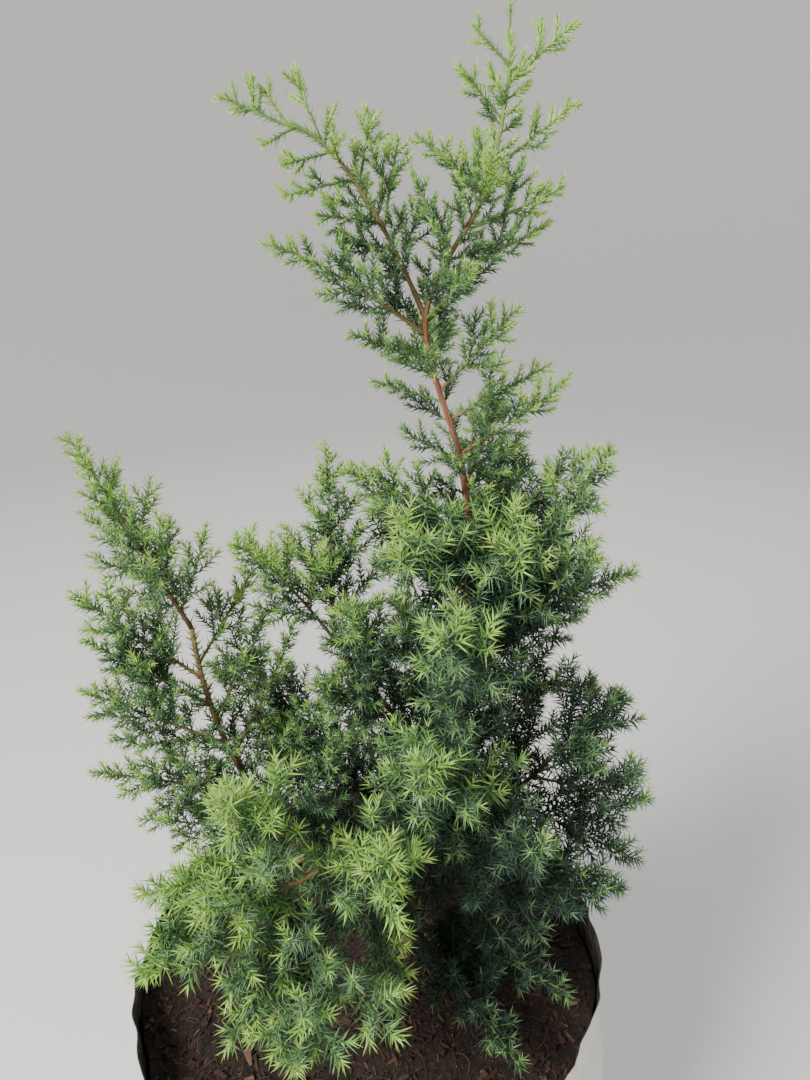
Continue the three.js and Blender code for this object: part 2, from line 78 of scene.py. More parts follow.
# The potting mix, how broad its surface's noise is and how high, and the chips and fibres on
# it: how many, how much of each colour, and how clear of the trunk
SOIL_LEVEL = 275
MIX_TOP_EDGE = 272
MIX_INSET = 12
MIX_GAP = 1.2
MIX_FLOOR = 4
MIX_WALL_HEIGHTS = [4.5, 12, 26, 60, 110, 160, 210, 250]
NOISE_BREADTH = 340
COARSE_CRUMBS = 3.2
FINE_CRUMBS = 2.2
CHIP_COUNT = 6600
CHIP_SHARES = [0.36, 0.38, 0.222, 0.038]
FIBRE_COUNT = 560
FIBRE_SHARES = [0.6, 0.28, 0.12]
CHIPS_CLEAR = 11

# The trunk, and the rule that stems and side twigs grow by
TRUNK_RADIUS = 5.6
TRUNK_TIP_RADIUS = 1.1
ROOT_FLARE = 4.2
ROOT_FLARE_HEIGHT = 22
STEM_RADIUS = 2.2
SAMPLES = 24
BARE_ROOT = 7
TWIG_SPACING = 6
TWIG_ANGLE = 50
TWIG_TURN = 140
FIRST_TURN = 90
TWIG_LIFT = 0.22
TWIG_TAPER = 0.85
TWIG_LEAST = 0.85
TWIG_CHANCE = 0.3

# Room: the gap that stems leave to bark, how far neighbouring sprays mingle, and how far
# shoots stay above the soil
GAP = 0.4
SHARED_ROOM = 12
SOIL_CLEAR = 4
POINTS_AT_ONCE = 1500

# The bark: how much slimmer than the solids the trunk is low down and higher up, the boughs'
# share of the solids' radius, their swelling where they leave it, the height below which stems
# leave the trunk's side, the depth of the relief, the length of its parts, and its seeds
SLIM_LOW = 0.15
SLIM_HIGH = 0.33
SLIM_BOUGH = 0.62
SLIM_GREEN_BOUGH = 0.5
SWELL = 0.45
SWELL_LENGTH = 9
TRUNK_TOP = 560
BARK_DEPTH = 0.75
BARK_DEPTH_LEAST = 0.1
BOUGH_BARK = 0.09
STRIP_LENGTH = 26
GRAIN_LENGTH = 5
CRACK_LENGTH = 3.5
TRUNK_SEED = 41
BOUGH_SEED = 50

# Each order of shoots: its radius at the foot, more of it for each millimetre of length, its
# radius at the tip, and its bare stretch at the root. Leafy ends of limbs have a share of the
# limb's radius
STEM_WOOD = (0.5, 0.008, 0.45, 0.3)
TWIG_WOOD = (0.36, 0.007, 0.34, 1.2)
SPRIG_WOOD = (0.42, 0, 0.3, 0.7)
SHORT_WOOD = (0.7, 0, 0.36, 1)
LEAFY_WOOD = 0.6

# How far from its tip a shoot's wood is green, and then ochre
GREEN_WOOD = 48
OCHRE_WOOD = 105

# Sprigs on the twigs, and short shoots on the trunk and boughs: a sprig is a share of what is
# left of its twig and a little more, and a shoot on the bare stretch a share of its length
SPRIG_BARE = 4
SPRIG_ANGLE = 46
SPRIG_TURN = 77
SPRIG_SHARE = 0.5
SPRIG_EXTRA = 4
SPRIG_SHORTEST = 4
SHOOT_SPACING = 4
SHOOT_ANGLE = 60
SHOOT_EXTRA = 4
BARE_SHARE = 0.35

# A needle's breadth and keel, and the rest as shares of its length: where it is broadest, how
# high its upper side and its tip are, its shortest length and the chance added, and how short
# it is at a shoot's tip
NEEDLE_BREADTH = 0.6
BREADTH_GROWTH = 0.014
NEEDLE_KEEL = 0.45
NEEDLE_BROAD_AT = 0.14
NEEDLE_BELLY = 0.1
NEEDLE_BEND = 0.06
NEEDLE_LEAST = 0.82
NEEDLE_CHANCE = 0.33
TIP_NEEDLE = 0.72

# How needles stand: how deep in the wood they root, how much more they lean away from the
# tip, chance in that, turns from shoot to shoot and by chance, and the spacing of whorls
ROOTED = 0.6
LEAN_GROWTH = 0.85
LEAN_CHANCE = 8
NEXT_SHOOT_TURN = 0.9
TURN_CHANCE = 0.15
FIRST_WHORL = 0.8
WHORL_GROWTH = 0.03
MOST_WHORLS = 75

# How light a shoot's needles are painted beside its region's own painted light: by chance, by
# how far out it is, with painted shade further in and painted light further out, and by its
# order, with sprigs in a little more painted light and short shoots from the bark in painted shade
LIGHT_CHANCE = 0.2
LIGHT_OUTWARD = 0.2
LIGHT_MIDWAY = 0.55
SPRIG_PAINTED_LIGHT = 0.05
SHOOT_PAINTED_SHADE = 0.08

# How light a needle is: by the light that reaches its shoot, by how near the shoot's tip it
# is, by how open that tip stands, and by chance; how many needles are dry, all over and far
# from the tips; and the share of a shoot at which its light is taken
OPEN_TONE = 1.05
TIP_TONE = 0.34
OPEN_TIP_TONE = 0.56
TIP_REACH = 6
TONE_CHANCE = 0.07
DRY_ANYWHERE = 0.004
DRY_INSIDE = 0.03
LIT_AT = 0.85

# A grid over the crown for its own shade: corner, cells each way, their size, how many points
# of each shoot are counted, and how much light each of them takes
GRID_CORNER = (-220, -220, 270)
GRID_SIZE = (55, 55, 78)
GRID_CELL = 8
SHOOT_POINTS = 7
SHADE = 0.085

# The ways that light comes: how many, the turn from one to the next, the lowest one's rise and
# the range above it, and the length in cells and the number of the steps along each
LIGHT_WAYS = 14
LIGHT_TURN = 2.4
LOWEST_RISE = 0.25
RISE_RANGE = 0.7
LIGHT_STEP = 1.3
LIGHT_STEPS = 11

# The photograph's viewpoint, in metres and degrees
CAMERA_PLACE = (0.0405, -0.414, 0.776)
CAMERA_DOWN = 23.2
CAMERA_ROLL = -2.9
CAMERA_LENS = 27.03

# The studio, in metres: the round floor's level part, the sweep up into the backdrop, and its
# height; how far in millimetres the floor lies below the bag; the sky; and the soft lights'
# place, size, power and tint
FLOOR_RADIUS = 2.4
FLOOR_SWEEP = 1.6
BACKDROP_HEIGHT = 4.5
FLOOR_CLEAR = 0.3
FLOOR_COLOUR = (0.78, 0.775, 0.765)
SKY_COLOUR = (0.86, 0.93, 1.0)
SKY_STRENGTH = 0.34
LIGHTS_AIM = (0.0, 0.0, 0.5)
LIGHTS = [
    ("key", (-1.4, -1.3, 2.0), 0.9, 118, (1.0, 0.97, 0.90)),
    ("side", (1.8, -0.6, 1.5), 1.4, 8, (0.90, 0.95, 1.0)),
    ("behind", (0.4, 1.7, 2.0), 1.2, 16, (1.0, 0.98, 0.93)),
]

# Needle colours, in steps from deep painted shade to painted light on fresh tips, then dry ones,
# and the bloom of upper sides in painted shade and in painted light
GREENS = [
    ("needle deep painted shade", (0.015, 0.037, 0.021), 0.55),
    ("needle blue painted shade", (0.036, 0.086, 0.049), 0.55),
    ("needle mid", (0.084, 0.178, 0.073), 0.52),
    ("needle painted light", (0.168, 0.345, 0.086), 0.48),
    ("needle fresh painted light", (0.345, 0.560, 0.115), 0.45),
    ("needle dry", (0.220, 0.115, 0.055), 0.75),
    ("bloom painted shade", (0.040, 0.084, 0.058), 0.62),
    ("bloom painted light", (0.150, 0.265, 0.130), 0.60),
]
TONE_STEPS = [0.32, 0.54, 0.8, 1.02]
DRY = 5
UPPER_SIDE = [6, 6, 7, 7, 4, 5]

# Colours of young wood, of chips of bark in the mix, and of its fibres
WOODS = [
    ("shoot green", (0.140, 0.235, 0.055), 0.60),
    ("shoot ochre", (0.220, 0.140, 0.052), 0.65),
    ("shoot brown", (0.120, 0.056, 0.030), 0.75),
]
CHIPS = [
    ("chip dark", (0.020, 0.011, 0.008), 0.92),
    ("chip brown", (0.038, 0.018, 0.012), 0.90),
    ("chip red", (0.068, 0.029, 0.017), 0.88),
    ("chip tan", (0.110, 0.062, 0.038), 0.88),
]
FIBRES = [
    ("fibre red", (0.085, 0.034, 0.019), 0.85),
    ("fibre tan", (0.125, 0.070, 0.040), 0.85),
    ("fibre dark", (0.030, 0.016, 0.011), 0.88),
]

# Colours of the peeling bark, of the film outside and inside, and of the mix
RED_BARK = (0.13, 0.045, 0.026)
ORANGE_BARK = (0.30, 0.105, 0.046)
GREY_BARK = (0.17, 0.12, 0.085)
FURROW_PAINTED_SHADE = (0.05, 0.024, 0.015)
# Painted shade in the bark's furrows
OCHRE_BARK = (0.20, 0.15, 0.055)
BROWN_BARK = (0.17, 0.085, 0.036)
GREEN_BARK = (0.16, 0.25, 0.07)
PALE_GRAIN = (0.4, 0.27, 0.16)
# The darker colour that the bark turns towards the bottom of the trunk
DARKER_LOW_BARK = (0.040, 0.022, 0.016)
MILKY_FILM = (0.73, 0.71, 0.67)
FILM_SOIL = (0.47, 0.41, 0.33)
FILM_STREAKS = (0.55, 0.52, 0.46)
FILM_SPECKS = (0.28, 0.2, 0.14)
BLACK_FILM = (0.012, 0.012, 0.014)
# Grey-brown on the black film: partly dust and partly a painted sheen
FILM_DUST_AND_SHEEN = (0.135, 0.118, 0.10)
DUST_SPECKS = (0.2, 0.155, 0.11)
# The mix's colours: dark damp compost, made darker still with painted shade
SHADED_DARK_MIX = (0.006, 0.004, 0.003)
MIX_CRUMBS = (0.032, 0.018, 0.012)
MIX_PATCHES = (0.026, 0.017, 0.012)
BARK_ROUGHNESS = 0.78
MIX_ROUGHNESS = 0.93
CREASE_DETAIL = 0.4
CREASE_ROUGHNESS = 0.4

# A box's corners, and its faces by their numbers
BOX_CORNERS = np.array([
    (a, b, c) for c in (-1, 1) for a, b in ((-1, -1), (1, -1), (1, 1), (-1, 1))
], float)
BOX_FACES = np.array([
    (3, 2, 1, 0), (4, 5, 6, 7), (0, 1, 5, 4), (1, 2, 6, 5), (2, 3, 7, 6), (3, 0, 4, 7),
])

# The trunk's bends: height above the soil, place to the right, place away from the viewer
TRUNK_BENDS = [
    (0, 28, 10),
    (60, 42, 14),
    (160, 62, 20),
    (285, 78, 22),
    (360, 74, 18),
    (440, 57, 16),
    (500, 88, 14),
    (550, 100, 16),
    (566, 100, 17),
]

# Boughs: carrier, place on it, heading, reach, climb, sweep, foot radius, tip radius
BOUGHS = {
    "left_bough": ("trunk", 20, 183, 120, 252, 1.3, 4.2, 2.2),
    "front_bough": ("trunk", 30, 244, 118, 165, 0.3, 3.8, 2.2),
    "upper_left_bough": ("trunk", 440, 190, 63, 92, -0.8, 2.2, 1.6),
    "left_middle_bough": ("trunk", 150, 192, 66, 112, 0.2, 3, 2),
    "right_bough": ("trunk", 88, 6, 82, 62, 0.3, 3.2, 2),
    "back_left_bough": ("trunk", 70, 138, 84, 92, 0.3, 3, 2),
    "back_right_bough": ("trunk", 115, 62, 72, 74, 0.3, 2.8, 1.9),
}

# Masses of foliage: carrier, place on it, heading, reach, climb, sweep, longest side twig
MASSES = {
    "leader_tip": ("trunk", 566, 60, 2, 26, 0, 0),
    "leader_right_first": ("trunk", 545, 350, 31, 23, 0, 20),
    "leader_left_second": ("trunk", 530, 193, 21, 23, 0, 20),
    "leader_right_second": ("trunk", 508, 0, 41, 28, 0, 20),
    "leader_left_third": ("trunk", 498, 190, 33, 28, 0, 22),
    "leader_right_third": ("trunk", 482, 357, 48, 18, 0.2, 26),
    "leader_front": ("trunk", 490, 276, 40, 24, 0, 20),
    "leader_back": ("trunk", 504, 92, 36, 24, 0, 18),
    "leader_right_fourth": ("trunk", 460, 5, 57, 24, 0.2, 24),
    "upper_left_tip": ("upper_left_bough", 1, 188, 29, 13, 0, 18),
    "upper_left_high": ("upper_left_bough", 0.72, 172, 12, 31, 0, 22),
    "upper_left_inner": ("upper_left_bough", 0.46, 60, 18, 33, -0.2, 24),
    "upper_left_low": ("upper_left_bough", 0.5, 205, 36, -6, 0.2, 20),
    "second_left": ("trunk", 432, 197, 80, 50, -0.3, 34),
    "third_left": ("trunk", 416, 206, 45, 22, 0, 24),
    "third_right": ("trunk", 402, 338, 43, 44, 0, 32),
    "third_back": ("trunk", 404, 92, 62, 28, 0.2, 36),
    "fourth_right": ("trunk", 366, 352, 58, 42, 0.2, 28),
    "fourth_back": ("trunk", 345, 70, 74, 34, 0.3, 42),
    "fifth_left": ("trunk", 325, 192, 70, 40, 0.2, 42),
    "middle_front_left": ("trunk", 300, 240, 82, 34, 0.2, 62),
    "middle_front_right": ("trunk", 285, 285, 72, 48, 0.2, 60),
    "middle_back": ("trunk", 275, 128, 92, 40, 0.3, 48),
    "centre_front": ("trunk", 235, 262, 104, 72, 0.2, 66),
    "right_middle_tip": ("trunk", 256, 344, 80, 116, 0.2, 52),
    "right_middle_side": ("trunk", 238, 322, 84, 90, 0.2, 56),
    "right_upper": ("trunk", 224, 346, 101, 73, -0.4, 44),
    "right_tip": ("right_bough", 0.75, 350, 78, -13, 0, 62),
    "right_high": ("right_bough", 1, 16, 53, 37, 0.2, 54),
    "right_front_low": ("trunk", 62, 330, 134, 54, 0.3, 62),
    "right_front_high": ("trunk", 108, 296, 118, 74, 0.2, 62),
    "right_soil": ("trunk", 28, 320, 121, 14, 0, 46),
    "front_soil": ("trunk", 24, 297, 128, 6, 0, 46),
    "centre_low": ("trunk", 130, 264, 114, 116, 0.3, 68),
    "left_middle_tip": ("left_middle_bough", 1, 84, 25, 110, 0.2, 46),
    "left_middle_side": ("left_middle_bough", 0.86, 200, 58, 84, -0.4, 44),
    "left_middle_front": ("left_middle_bough", 0.6, 264, 41, 83, 0.2, 50),
    "left_top": ("left_bough", 1, 183, 47, 121, 0, 47),
    "left_outer_high": ("left_bough", 0.86, 178, 68, 61, 0, 50),
    "left_outer_low": ("left_bough", 0.66, 187, 79, 51, 0, 52),
    "left_low": ("left_bough", 0.36, 186, 93, 25, 0, 48),
    "left_inner": ("left_bough", 0.62, 29, 53, 87, 0.2, 18),
    "front_top": ("front_bough", 1, 225, 44, 62, 0.2, 46),
    "front_left": ("front_bough", 0.86, 205, 100, -20, 0, 66),
    "front_right": ("front_bough", 0.7, 300, 62, 70, 0.2, 54),
    "front_low": ("front_bough", 0.62, 252, 84, -30, 0.2, 84),
    "back_left_tip": ("back_left_bough", 1, 175, 84, 42, 0.2, 42),
    "back_left_low": ("back_left_bough", 0.7, 170, 70, 26, 0.2, 50),
    "back_right_tip": ("back_right_bough", 1, 52, 56, 56, 0.2, 58),
    "back_right_low": ("back_right_bough", 0.6, 84, 84, 10, 0.2, 52),
}

# Sprays too slight for a solid of their own, by rows of the same kind
SLIGHT_SPRAYS = {
    "leader_left_first": ("trunk", 552, 188, 18, 17, 0, 14),
    "leader_left_fourth": ("trunk", 470, 196, 18, 42, 0, 16),
    "upper_left_end": ("upper_left_bough", 0.98, 150, 12, 16, 0, 18),
    "upper_left_under": ("upper_left_bough", 0.92, 220, 19, -8, 0, 20),
    "upper_left_second": ("upper_left_bough", 0.66, 214, 27, -5, 0, 22),
    "upper_left_third": ("upper_left_bough", 0.3, 206, 34, 6, 0, 26),
    "upper_left_fourth": ("upper_left_bough", 0.2, 200, 28, 6, 0, 28),
    "upper_left_right": ("upper_left_bough", 0.28, 30, 11, 40, 0, 26),
    "left_outer_second": ("left_bough", 0.78, 200, 62, 62, 0, 40),
    "left_low_second": ("left_bough", 0.5, 192, 95, 38, 0, 44),
    "second_right": ("trunk", 438, 15, 41, 30, 0, 18),
    "second_front": ("trunk", 440, 300, 43, 27, 0, 18),
    "fourth_left": ("trunk", 396, 188, 38, 15, 0, 18),
    "third_right_low": ("trunk", 386, 8, 57, 26, 0, 22),
    "right_middle_high": ("trunk", 300, 4, 75, 62, -0.3, 30),
    "left_inner_high": ("left_bough", 0.9, 54, 52, 40, 0, 30),
    "front_low_left": ("front_bough", 0.78, 222, 75, -63, 0, 40),
    "front_low_right": ("front_bough", 0.5, 292, 54, -34, 0, 40),
    "front_left_high": ("front_bough", 0.95, 179, 95, -23, 0, 36),
    "right_low": ("right_bough", 0.5, 333, 91, -22, 0, 44),
    "right_back": ("back_right_bough", 0.9, 8, 94, -26, 0, 44),
    "right_inner": ("right_bough", 0.5, 62, 52, 66, 0.2, 44),
    "right_before": ("right_bough", 0.8, 318, 46, 42, 0, 40),
    "left_behind": ("back_left_bough", 0.35, 186, 66, 74, 0.3, 46),
    "left_between": ("left_middle_bough", 0.35, 228, 64, 62, 0.2, 44),
    "left_beside": ("left_bough", 0.4, 348, 52, 74, 0.2, 40),
    "left_inner_side": ("left_bough", 0.74, 40, 44, 58, 0.2, 34),
    "left_inner_low": ("left_bough", 0.5, 20, 58, 66, 0.2, 34),
    "back_low": ("trunk", 48, 96, 96, 44, 0.3, 52),
    "back_low_left": ("trunk", 36, 146, 108, 40, 0.3, 52),
    "back_low_right": ("trunk", 58, 38, 92, 40, 0.3, 50),
    "back_middle": ("trunk", 190, 112, 92, 44, 0.3, 50),
    "back_high": ("trunk", 306, 60, 80, 40, 0.2, 44),
}
ALL_SPRAYS = {**MASSES, **SLIGHT_SPRAYS}

# The part of the crown that each mass belongs to, by its name or the name's first word
REGION_OF = {
    "right_middle_tip": "shoulder",
    "right_middle_side": "shoulder",
    "right_middle_high": "shoulder",
    "right_upper": "shoulder",
    "front_soil": "right",
    "leader": "leader",
    "upper": "leader",
    "second": "upper",
    "third": "upper",
    "fourth": "upper",
    "fifth": "upper",
    "middle": "middle",
    "centre": "middle",
    "right": "right",
    "left": "left",
    "front": "front",
    "back": "back",
}

# Each part of the crown: how light its needles are, from 0 in deep shade to 1 in full light,
# their length, the spacing of its sprigs, the needles' lean in degrees at a shoot's tip, and
# the step between its whorls of needles
LIGHT, NEEDLE, SPRIG_SPACING, LEAN, WHORL_STEP = range(5)
REGIONS = {
    "leader": (0.56, 4.2, 3.1, 26, 0.86),
    "upper": (0.48, 5.2, 4.3, 28, 1.25),
    "shoulder": (0.26, 7.6, 6.4, 32, 1.7),
    "middle": (0.28, 10.0, 7.8, 36, 1.9),
    "right": (-0.13, 9.2, 7.4, 34, 1.85),
    "left": (0.45, 6.4, 5.0, 29, 1.55),
    "front": (0.38, 9.4, 9.0, 32, 1.7),
    "back": (0.04, 8.0, 5.4, 32, 1.7),
}

# Short shoots from each limb's own bark: how far up they begin, and how long they are there
SHOOTS = {
    "trunk": (60, 38),
    "left_bough": (24, 38),
    "front_bough": (20, 32),
    "upper_left_bough": (6, 22),
    "left_middle_bough": (16, 38),
    "right_bough": (12, 36),
    "back_left_bough": (12, 44),
    "back_right_bough": (12, 44),
}

# Needles straight on young bark: the share of the limb where they begin, and the mass whose
# part of the crown they belong to
LEAFY_FROM = {
    "trunk": (0.76, "leader_tip"),
    "upper_left_bough": (0.12, "upper_left_tip"),
    "left_bough": (0.66, "left_top"),
    "left_middle_bough": (0.5, "left_middle_tip"),
    "front_bough": (0.6, "front_top"),
    "right_bough": (0.5, "right_high"),
    "back_left_bough": (0.5, "back_left_tip"),
    "back_right_bough": (0.5, "back_right_tip"),
}

# The trunk's stretch of bare bark on the side of the viewer, in heights above the soil
BARE_BARK = (366, 410)


def unit(vectors):
    """Vectors divided by their own lengths."""
    return vectors / np.maximum(np.linalg.norm(vectors, axis=-1, keepdims=True), 1e-9)


def smoothstep(value, low, high):
    """0 up to low, 1 from high on, and 3s squared less 2s cubed between them."""
    share = np.clip((value - low) / (high - low), 0, 1)
    return share * share * (3 - 2 * share)


def chance(a, b, c):
    """A repeatable number from 0 to 1 for three whole numbers, by mixing their bits."""
    mask = np.uint64(0xFFFFFFFF)
    a, b, c = (np.asarray(n).astype(np.uint64) + np.uint64(1) for n in (a, b, c))
    h = (a * np.uint64(73856093) ^ b * np.uint64(19349663) ^ c * np.uint64(83492791)) & mask
    h = (h ^ (h >> np.uint64(13))) * np.uint64(1274126177) & mask
    return ((h ^ (h >> np.uint64(16))) & mask).astype(float) / 4294967296


def lattice_noise(around, along, cells, seed):
    """Smooth noise from 0 to 1: random heights on a lattice, joined by smoothstep, and
    closed round the first way. Both places are shares from 0 to 1."""
    heights = np.random.RandomState(seed).rand(cells[0], cells[1] + 2)
    x = np.mod(around, 1.0) * cells[0]
    y = np.clip(along, 0.0, 1.0) * cells[1]
    column = np.floor(x).astype(int) % cells[0]
    row = np.floor(y).astype(int)
    across = smoothstep(x - np.floor(x), 0, 1)
    onward = smoothstep(y - row, 0, 1)
    after = (column + 1) % cells[0]
    near = heights[column, row] * (1 - across) + heights[after, row] * across
    far = heights[column, row + 1] * (1 - across) + heights[after, row + 1] * across
    return near * (1 - onward) + far * onward


# Paths, each an array of points at even steps of its own share

def along(path, share):
    """The points of one path at the given shares of it."""
    place = np.clip(share, 0, 1) * (len(path) - 1)
    first = np.minimum(np.floor(place).astype(int), len(path) - 2)
    return path[first] + (path[first + 1] - path[first]) * (place - first)[..., None]


def heading_along(path, share):
    """The direction of one path at the given shares of it."""
    return unit(along(np.gradient(path, axis=0), share))


def length_of(path):
    """The sum of the steps from point to point, on one path or on many."""
    return np.linalg.norm(np.diff(path, axis=-2), axis=-1).sum(-1)


def frame_on(tangent):
    """A level direction square to each tangent, and the steep one square to both."""
    level = np.cross(UP, tangent)
    size = np.linalg.norm(level, axis=-1, keepdims=True)
    level = np.where(size < 0.05, np.array([1.0, 0.0, 0.0]), level / np.maximum(size, 1e-9))
    return level, unit(np.cross(tangent, level))


def nearest(points, path):
    """How far each point is from a path, and the share of the path that is nearest."""
    begin, step = path[:-1], np.diff(path, axis=0)
    offset = points[:, None] - begin
    part = np.clip((offset * step).sum(-1) / (step * step).sum(-1), 0, 1)
    distance = np.linalg.norm(offset - step * part[..., None], axis=-1)
    best = distance.argmin(1)
    rows = np.arange(len(points))
    return distance[rows, best], (best + part[rows, best]) / len(step)


def trunk_curve(steps):
    """A Catmull-Rom curve: between two bends, a cubic whose slope at each is half the way
    from the bend before to the bend after."""
    bends = [(right, away, SOIL_LEVEL + height) for height, right, away in TRUNK_BENDS]
    bends = np.array(bends, float)
    before = 2 * bends[0] - bends[1]
    after = 2 * bends[-1] - bends[-2]
    known = np.vstack([before, bends, after])
    place = np.linspace(0, len(bends) - 1, steps + 1)
    k = np.minimum(place.astype(int), len(bends) - 2)
    w = (place - k)[:, None]
    p0, p1, p2, p3 = known[k], known[k + 1], known[k + 2], known[k + 3]
    slope, next_slope = (p2 - p0) / 2, (p3 - p1) / 2
    cubic = (2 * p1 - 2 * p2 + slope + next_slope) * w ** 3
    square = (3 * p2 - 3 * p1 - 2 * slope - next_slope) * w ** 2
    return cubic + square + slope * w + p1


def sweep_curve(start, heading, reach, climb, sweep, steps=48):
    """Reach and climb grow with the share t, one of them ahead by 1 - (1 - t) to a power."""
    t = np.linspace(0, 1, steps + 1)
    ahead = 1 - (1 - t) ** (1 + abs(sweep))
    out = reach * (ahead if sweep >= 0 else t)
    up = climb * (t if sweep >= 0 else ahead)
    turned = math.radians(heading)
    flat = np.array([math.cos(turned), math.sin(turned), 0.0])
    return np.asarray(start) + out[:, None] * flat + up[:, None] * UP


def trunk_radius(share):
    """Thin at the tip, and thicker by nearly the share left below it."""
    return TRUNK_TIP_RADIUS + (TRUNK_RADIUS - TRUNK_TIP_RADIUS) * (1 - share) ** 1.15


def limb_radius(foot, tip):
    """A radius that goes evenly from the foot's to the tip's."""
    return lambda share: foot + (tip - foot) * share


TRUNK = trunk_curve(400)
TRUNK_SHARES = np.linspace(0, 1, len(TRUNK))


class Limb:
    """A trunk or bough: its whole path, the part clear of its carrier, and its radius."""

    def __init__(self, whole, radius_at, clear_from=0.0):
        """The clear part begins at the share of the path that has left the carrier."""
        self.whole = whole
        self.radius_at = radius_at
        self.clear = along(whole, np.linspace(clear_from, 1, 49))
        self.samples = along(self.clear, np.linspace(0, 1, SAMPLES + 1))


def trunk_share_at(height):
    """The share of the trunk that lies at a height above the soil."""
    return np.interp(SOIL_LEVEL + height, TRUNK[:, 2], TRUNK_SHARES)


def start_on(limbs, carrier, at):
    """The point of a carrier that a limb or stem leaves from."""
    if carrier == "trunk":
        return along(TRUNK, np.array([trunk_share_at(at)]))[0]
    return along(limbs[carrier].clear, np.array([at]))[0]


def clear_share(whole, carrier, radius):
    """The share of a path at which it has come out of its carrier's bark, a gap clear."""
    shares = np.arange(200) / 200
    distance, place = nearest(along(whole, shares), carrier.samples)
    lean = np.abs((heading_along(carrier.samples, place) * heading_along(whole, shares)).sum(-1))
    return shares[np.argmax(distance > carrier.radius_at(place) + radius * lean + GAP)]


def grow(limbs, row, radius):
    """The whole path of one limb or stem, and the share of it that is inside its carrier."""
    carrier, at, heading, reach, climb, sweep = row[:6]
    whole = sweep_curve(start_on(limbs, carrier, at), heading, reach, climb, sweep)
    carries_on = carrier != "trunk" and at == 1
    return whole, 0.0 if carries_on else clear_share(whole, limbs[carrier], radius)


def grow_limbs():
    """The trunk, and each bough on it."""
    limbs = {"trunk": Limb(TRUNK, trunk_radius)}
    limbs["trunk"].samples = along(TRUNK, np.linspace(0, 1, SAMPLES + 1))
    for name, row in BOUGHS.items():
        *_, foot, tip = row
        whole, inside = grow(limbs, row, foot)
        limbs[name] = Limb(whole, limb_radius(foot, tip), inside)
    return limbs


LIMBS = grow_limbs()


class Sprays:
    """Many shoots of one order: their paths, the stem that owns each, foot and tip radius,
    the stretch at the root with no needles, and how light each one's needles are."""

    def __init__(self, paths, owner, foot, tip, bare, light):
        """One value stands for all shoots, or there is one for each."""
        count = len(paths)
        self.paths = paths
        self.owner = owner
        self.foot = np.broadcast_to(np.asarray(foot, float), count)
        self.tip = np.broadcast_to(np.asarray(tip, float), count)
        self.bare = np.broadcast_to(np.asarray(bare, float), count)
        self.light = light
        self.lengths = length_of(paths)


def sprays_with(wood, paths, owner, sizes, light):
    """Shoots of one order, with the radii and the bare stretch that it has."""
    foot, growth, tip, bare = wood
    return Sprays(paths, owner, foot + growth * sizes, tip, bare, light)


def spray_light(owner, outward, seed):
    """How light each shoot's needles are: its region's own light, more the further out it
    is, and a share of chance."""
    drawn = np.random.RandomState(seed).uniform(-LIGHT_CHANCE, LIGHT_CHANCE, len(owner))
    return by_region(LIGHT, owner) + LIGHT_OUTWARD * (outward - LIGHT_MIDWAY) + drawn


def region_of(name):
    """The region that a mass or spray belongs to."""
    return REGION_OF.get(name) or REGION_OF[name.split("_")[0]]


def by_region(column, owner):
    """One of the values of its own region, for each shoot."""
    return np.array([REGIONS[region][column] for region in STEM_REGIONS])[owner]


def grow_stems():
    """The stem of every mass: clear paths of one length of array, and whole paths for bark."""
    clear, whole = [], []
    for row in ALL_SPRAYS.values():
        path, inside = grow(LIMBS, row, STEM_RADIUS)
        clear.append(along(path, np.linspace(inside, 1, SAMPLES + 1)))
        whole.append(along(path, np.linspace(0, 1, SAMPLES + 1)))
    return np.array(clear), np.array(whole)


STEM_NAMES = list(ALL_SPRAYS)
STEM_REGIONS = [region_of(name) for name in STEM_NAMES]
STEMS, WHOLE_STEMS = grow_stems()


def distances_to_stems(points):
    """How far each point is from each stem, worked out in blocks to save memory."""
    begin = STEMS[:, :-1].reshape(-1, 3).astype(np.float32)
    step = np.diff(STEMS, axis=1).reshape(-1, 3).astype(np.float32)
    square = (step * step).sum(-1)
    found = []
    for block in np.array_split(points.astype(np.float32), max(1, len(points) // POINTS_AT_ONCE)):
        offset = block[:, None] - begin
        part = np.clip((offset * step).sum(-1) / square, 0, 1)
        gap = np.linalg.norm(offset - step * part[..., None], axis=-1)
        found.append(gap.reshape(len(block), len(STEMS), SAMPLES).min(2))
    return np.concatenate(found)


def clear_room(points):
    """How far each point is from the nearest bark of a limb, or above the soil."""
    room = points[:, 2] - SOIL_LEVEL - SOIL_CLEAR
    for limb in LIMBS.values():
        distance, share = nearest(points, limb.samples)
        room = np.minimum(room, distance - limb.radius_at(share) - GAP)
    return room


def own_room(points, owner):
    """The same, and no further into the space of other masses than sprays mingle: a point is
    in its mass's own space if its own stem is the nearest."""
    gaps = distances_to_stems(points)
    rows = np.arange(len(points))
    mine = gaps[rows, owner]
    gaps[rows, owner] = np.inf
    return np.minimum(clear_room(points), (gaps.min(1) - mine) / 2 + SHARED_ROOM)


def share_inside(paths, owner):
    """How much of each twig has room, from a quarter of it outwards. Twigs with no owner
    keep clear of bark and soil only."""
    steps = 12
    checked = np.arange(3, steps + 1)
    points = np.stack([along_many(paths, np.full(len(paths), i / steps)) for i in checked], 1)
    points = points.reshape(-1, 3)
    if owner is None:
        room = clear_room(points)
    else:
        room = own_room(points, np.repeat(owner, len(checked)))
    inside = room.reshape(len(paths), -1) >= 0
    kept = np.cumprod(inside, axis=1).sum(1)
    return np.where(kept > 0, (kept + 2) / steps, 0.0)


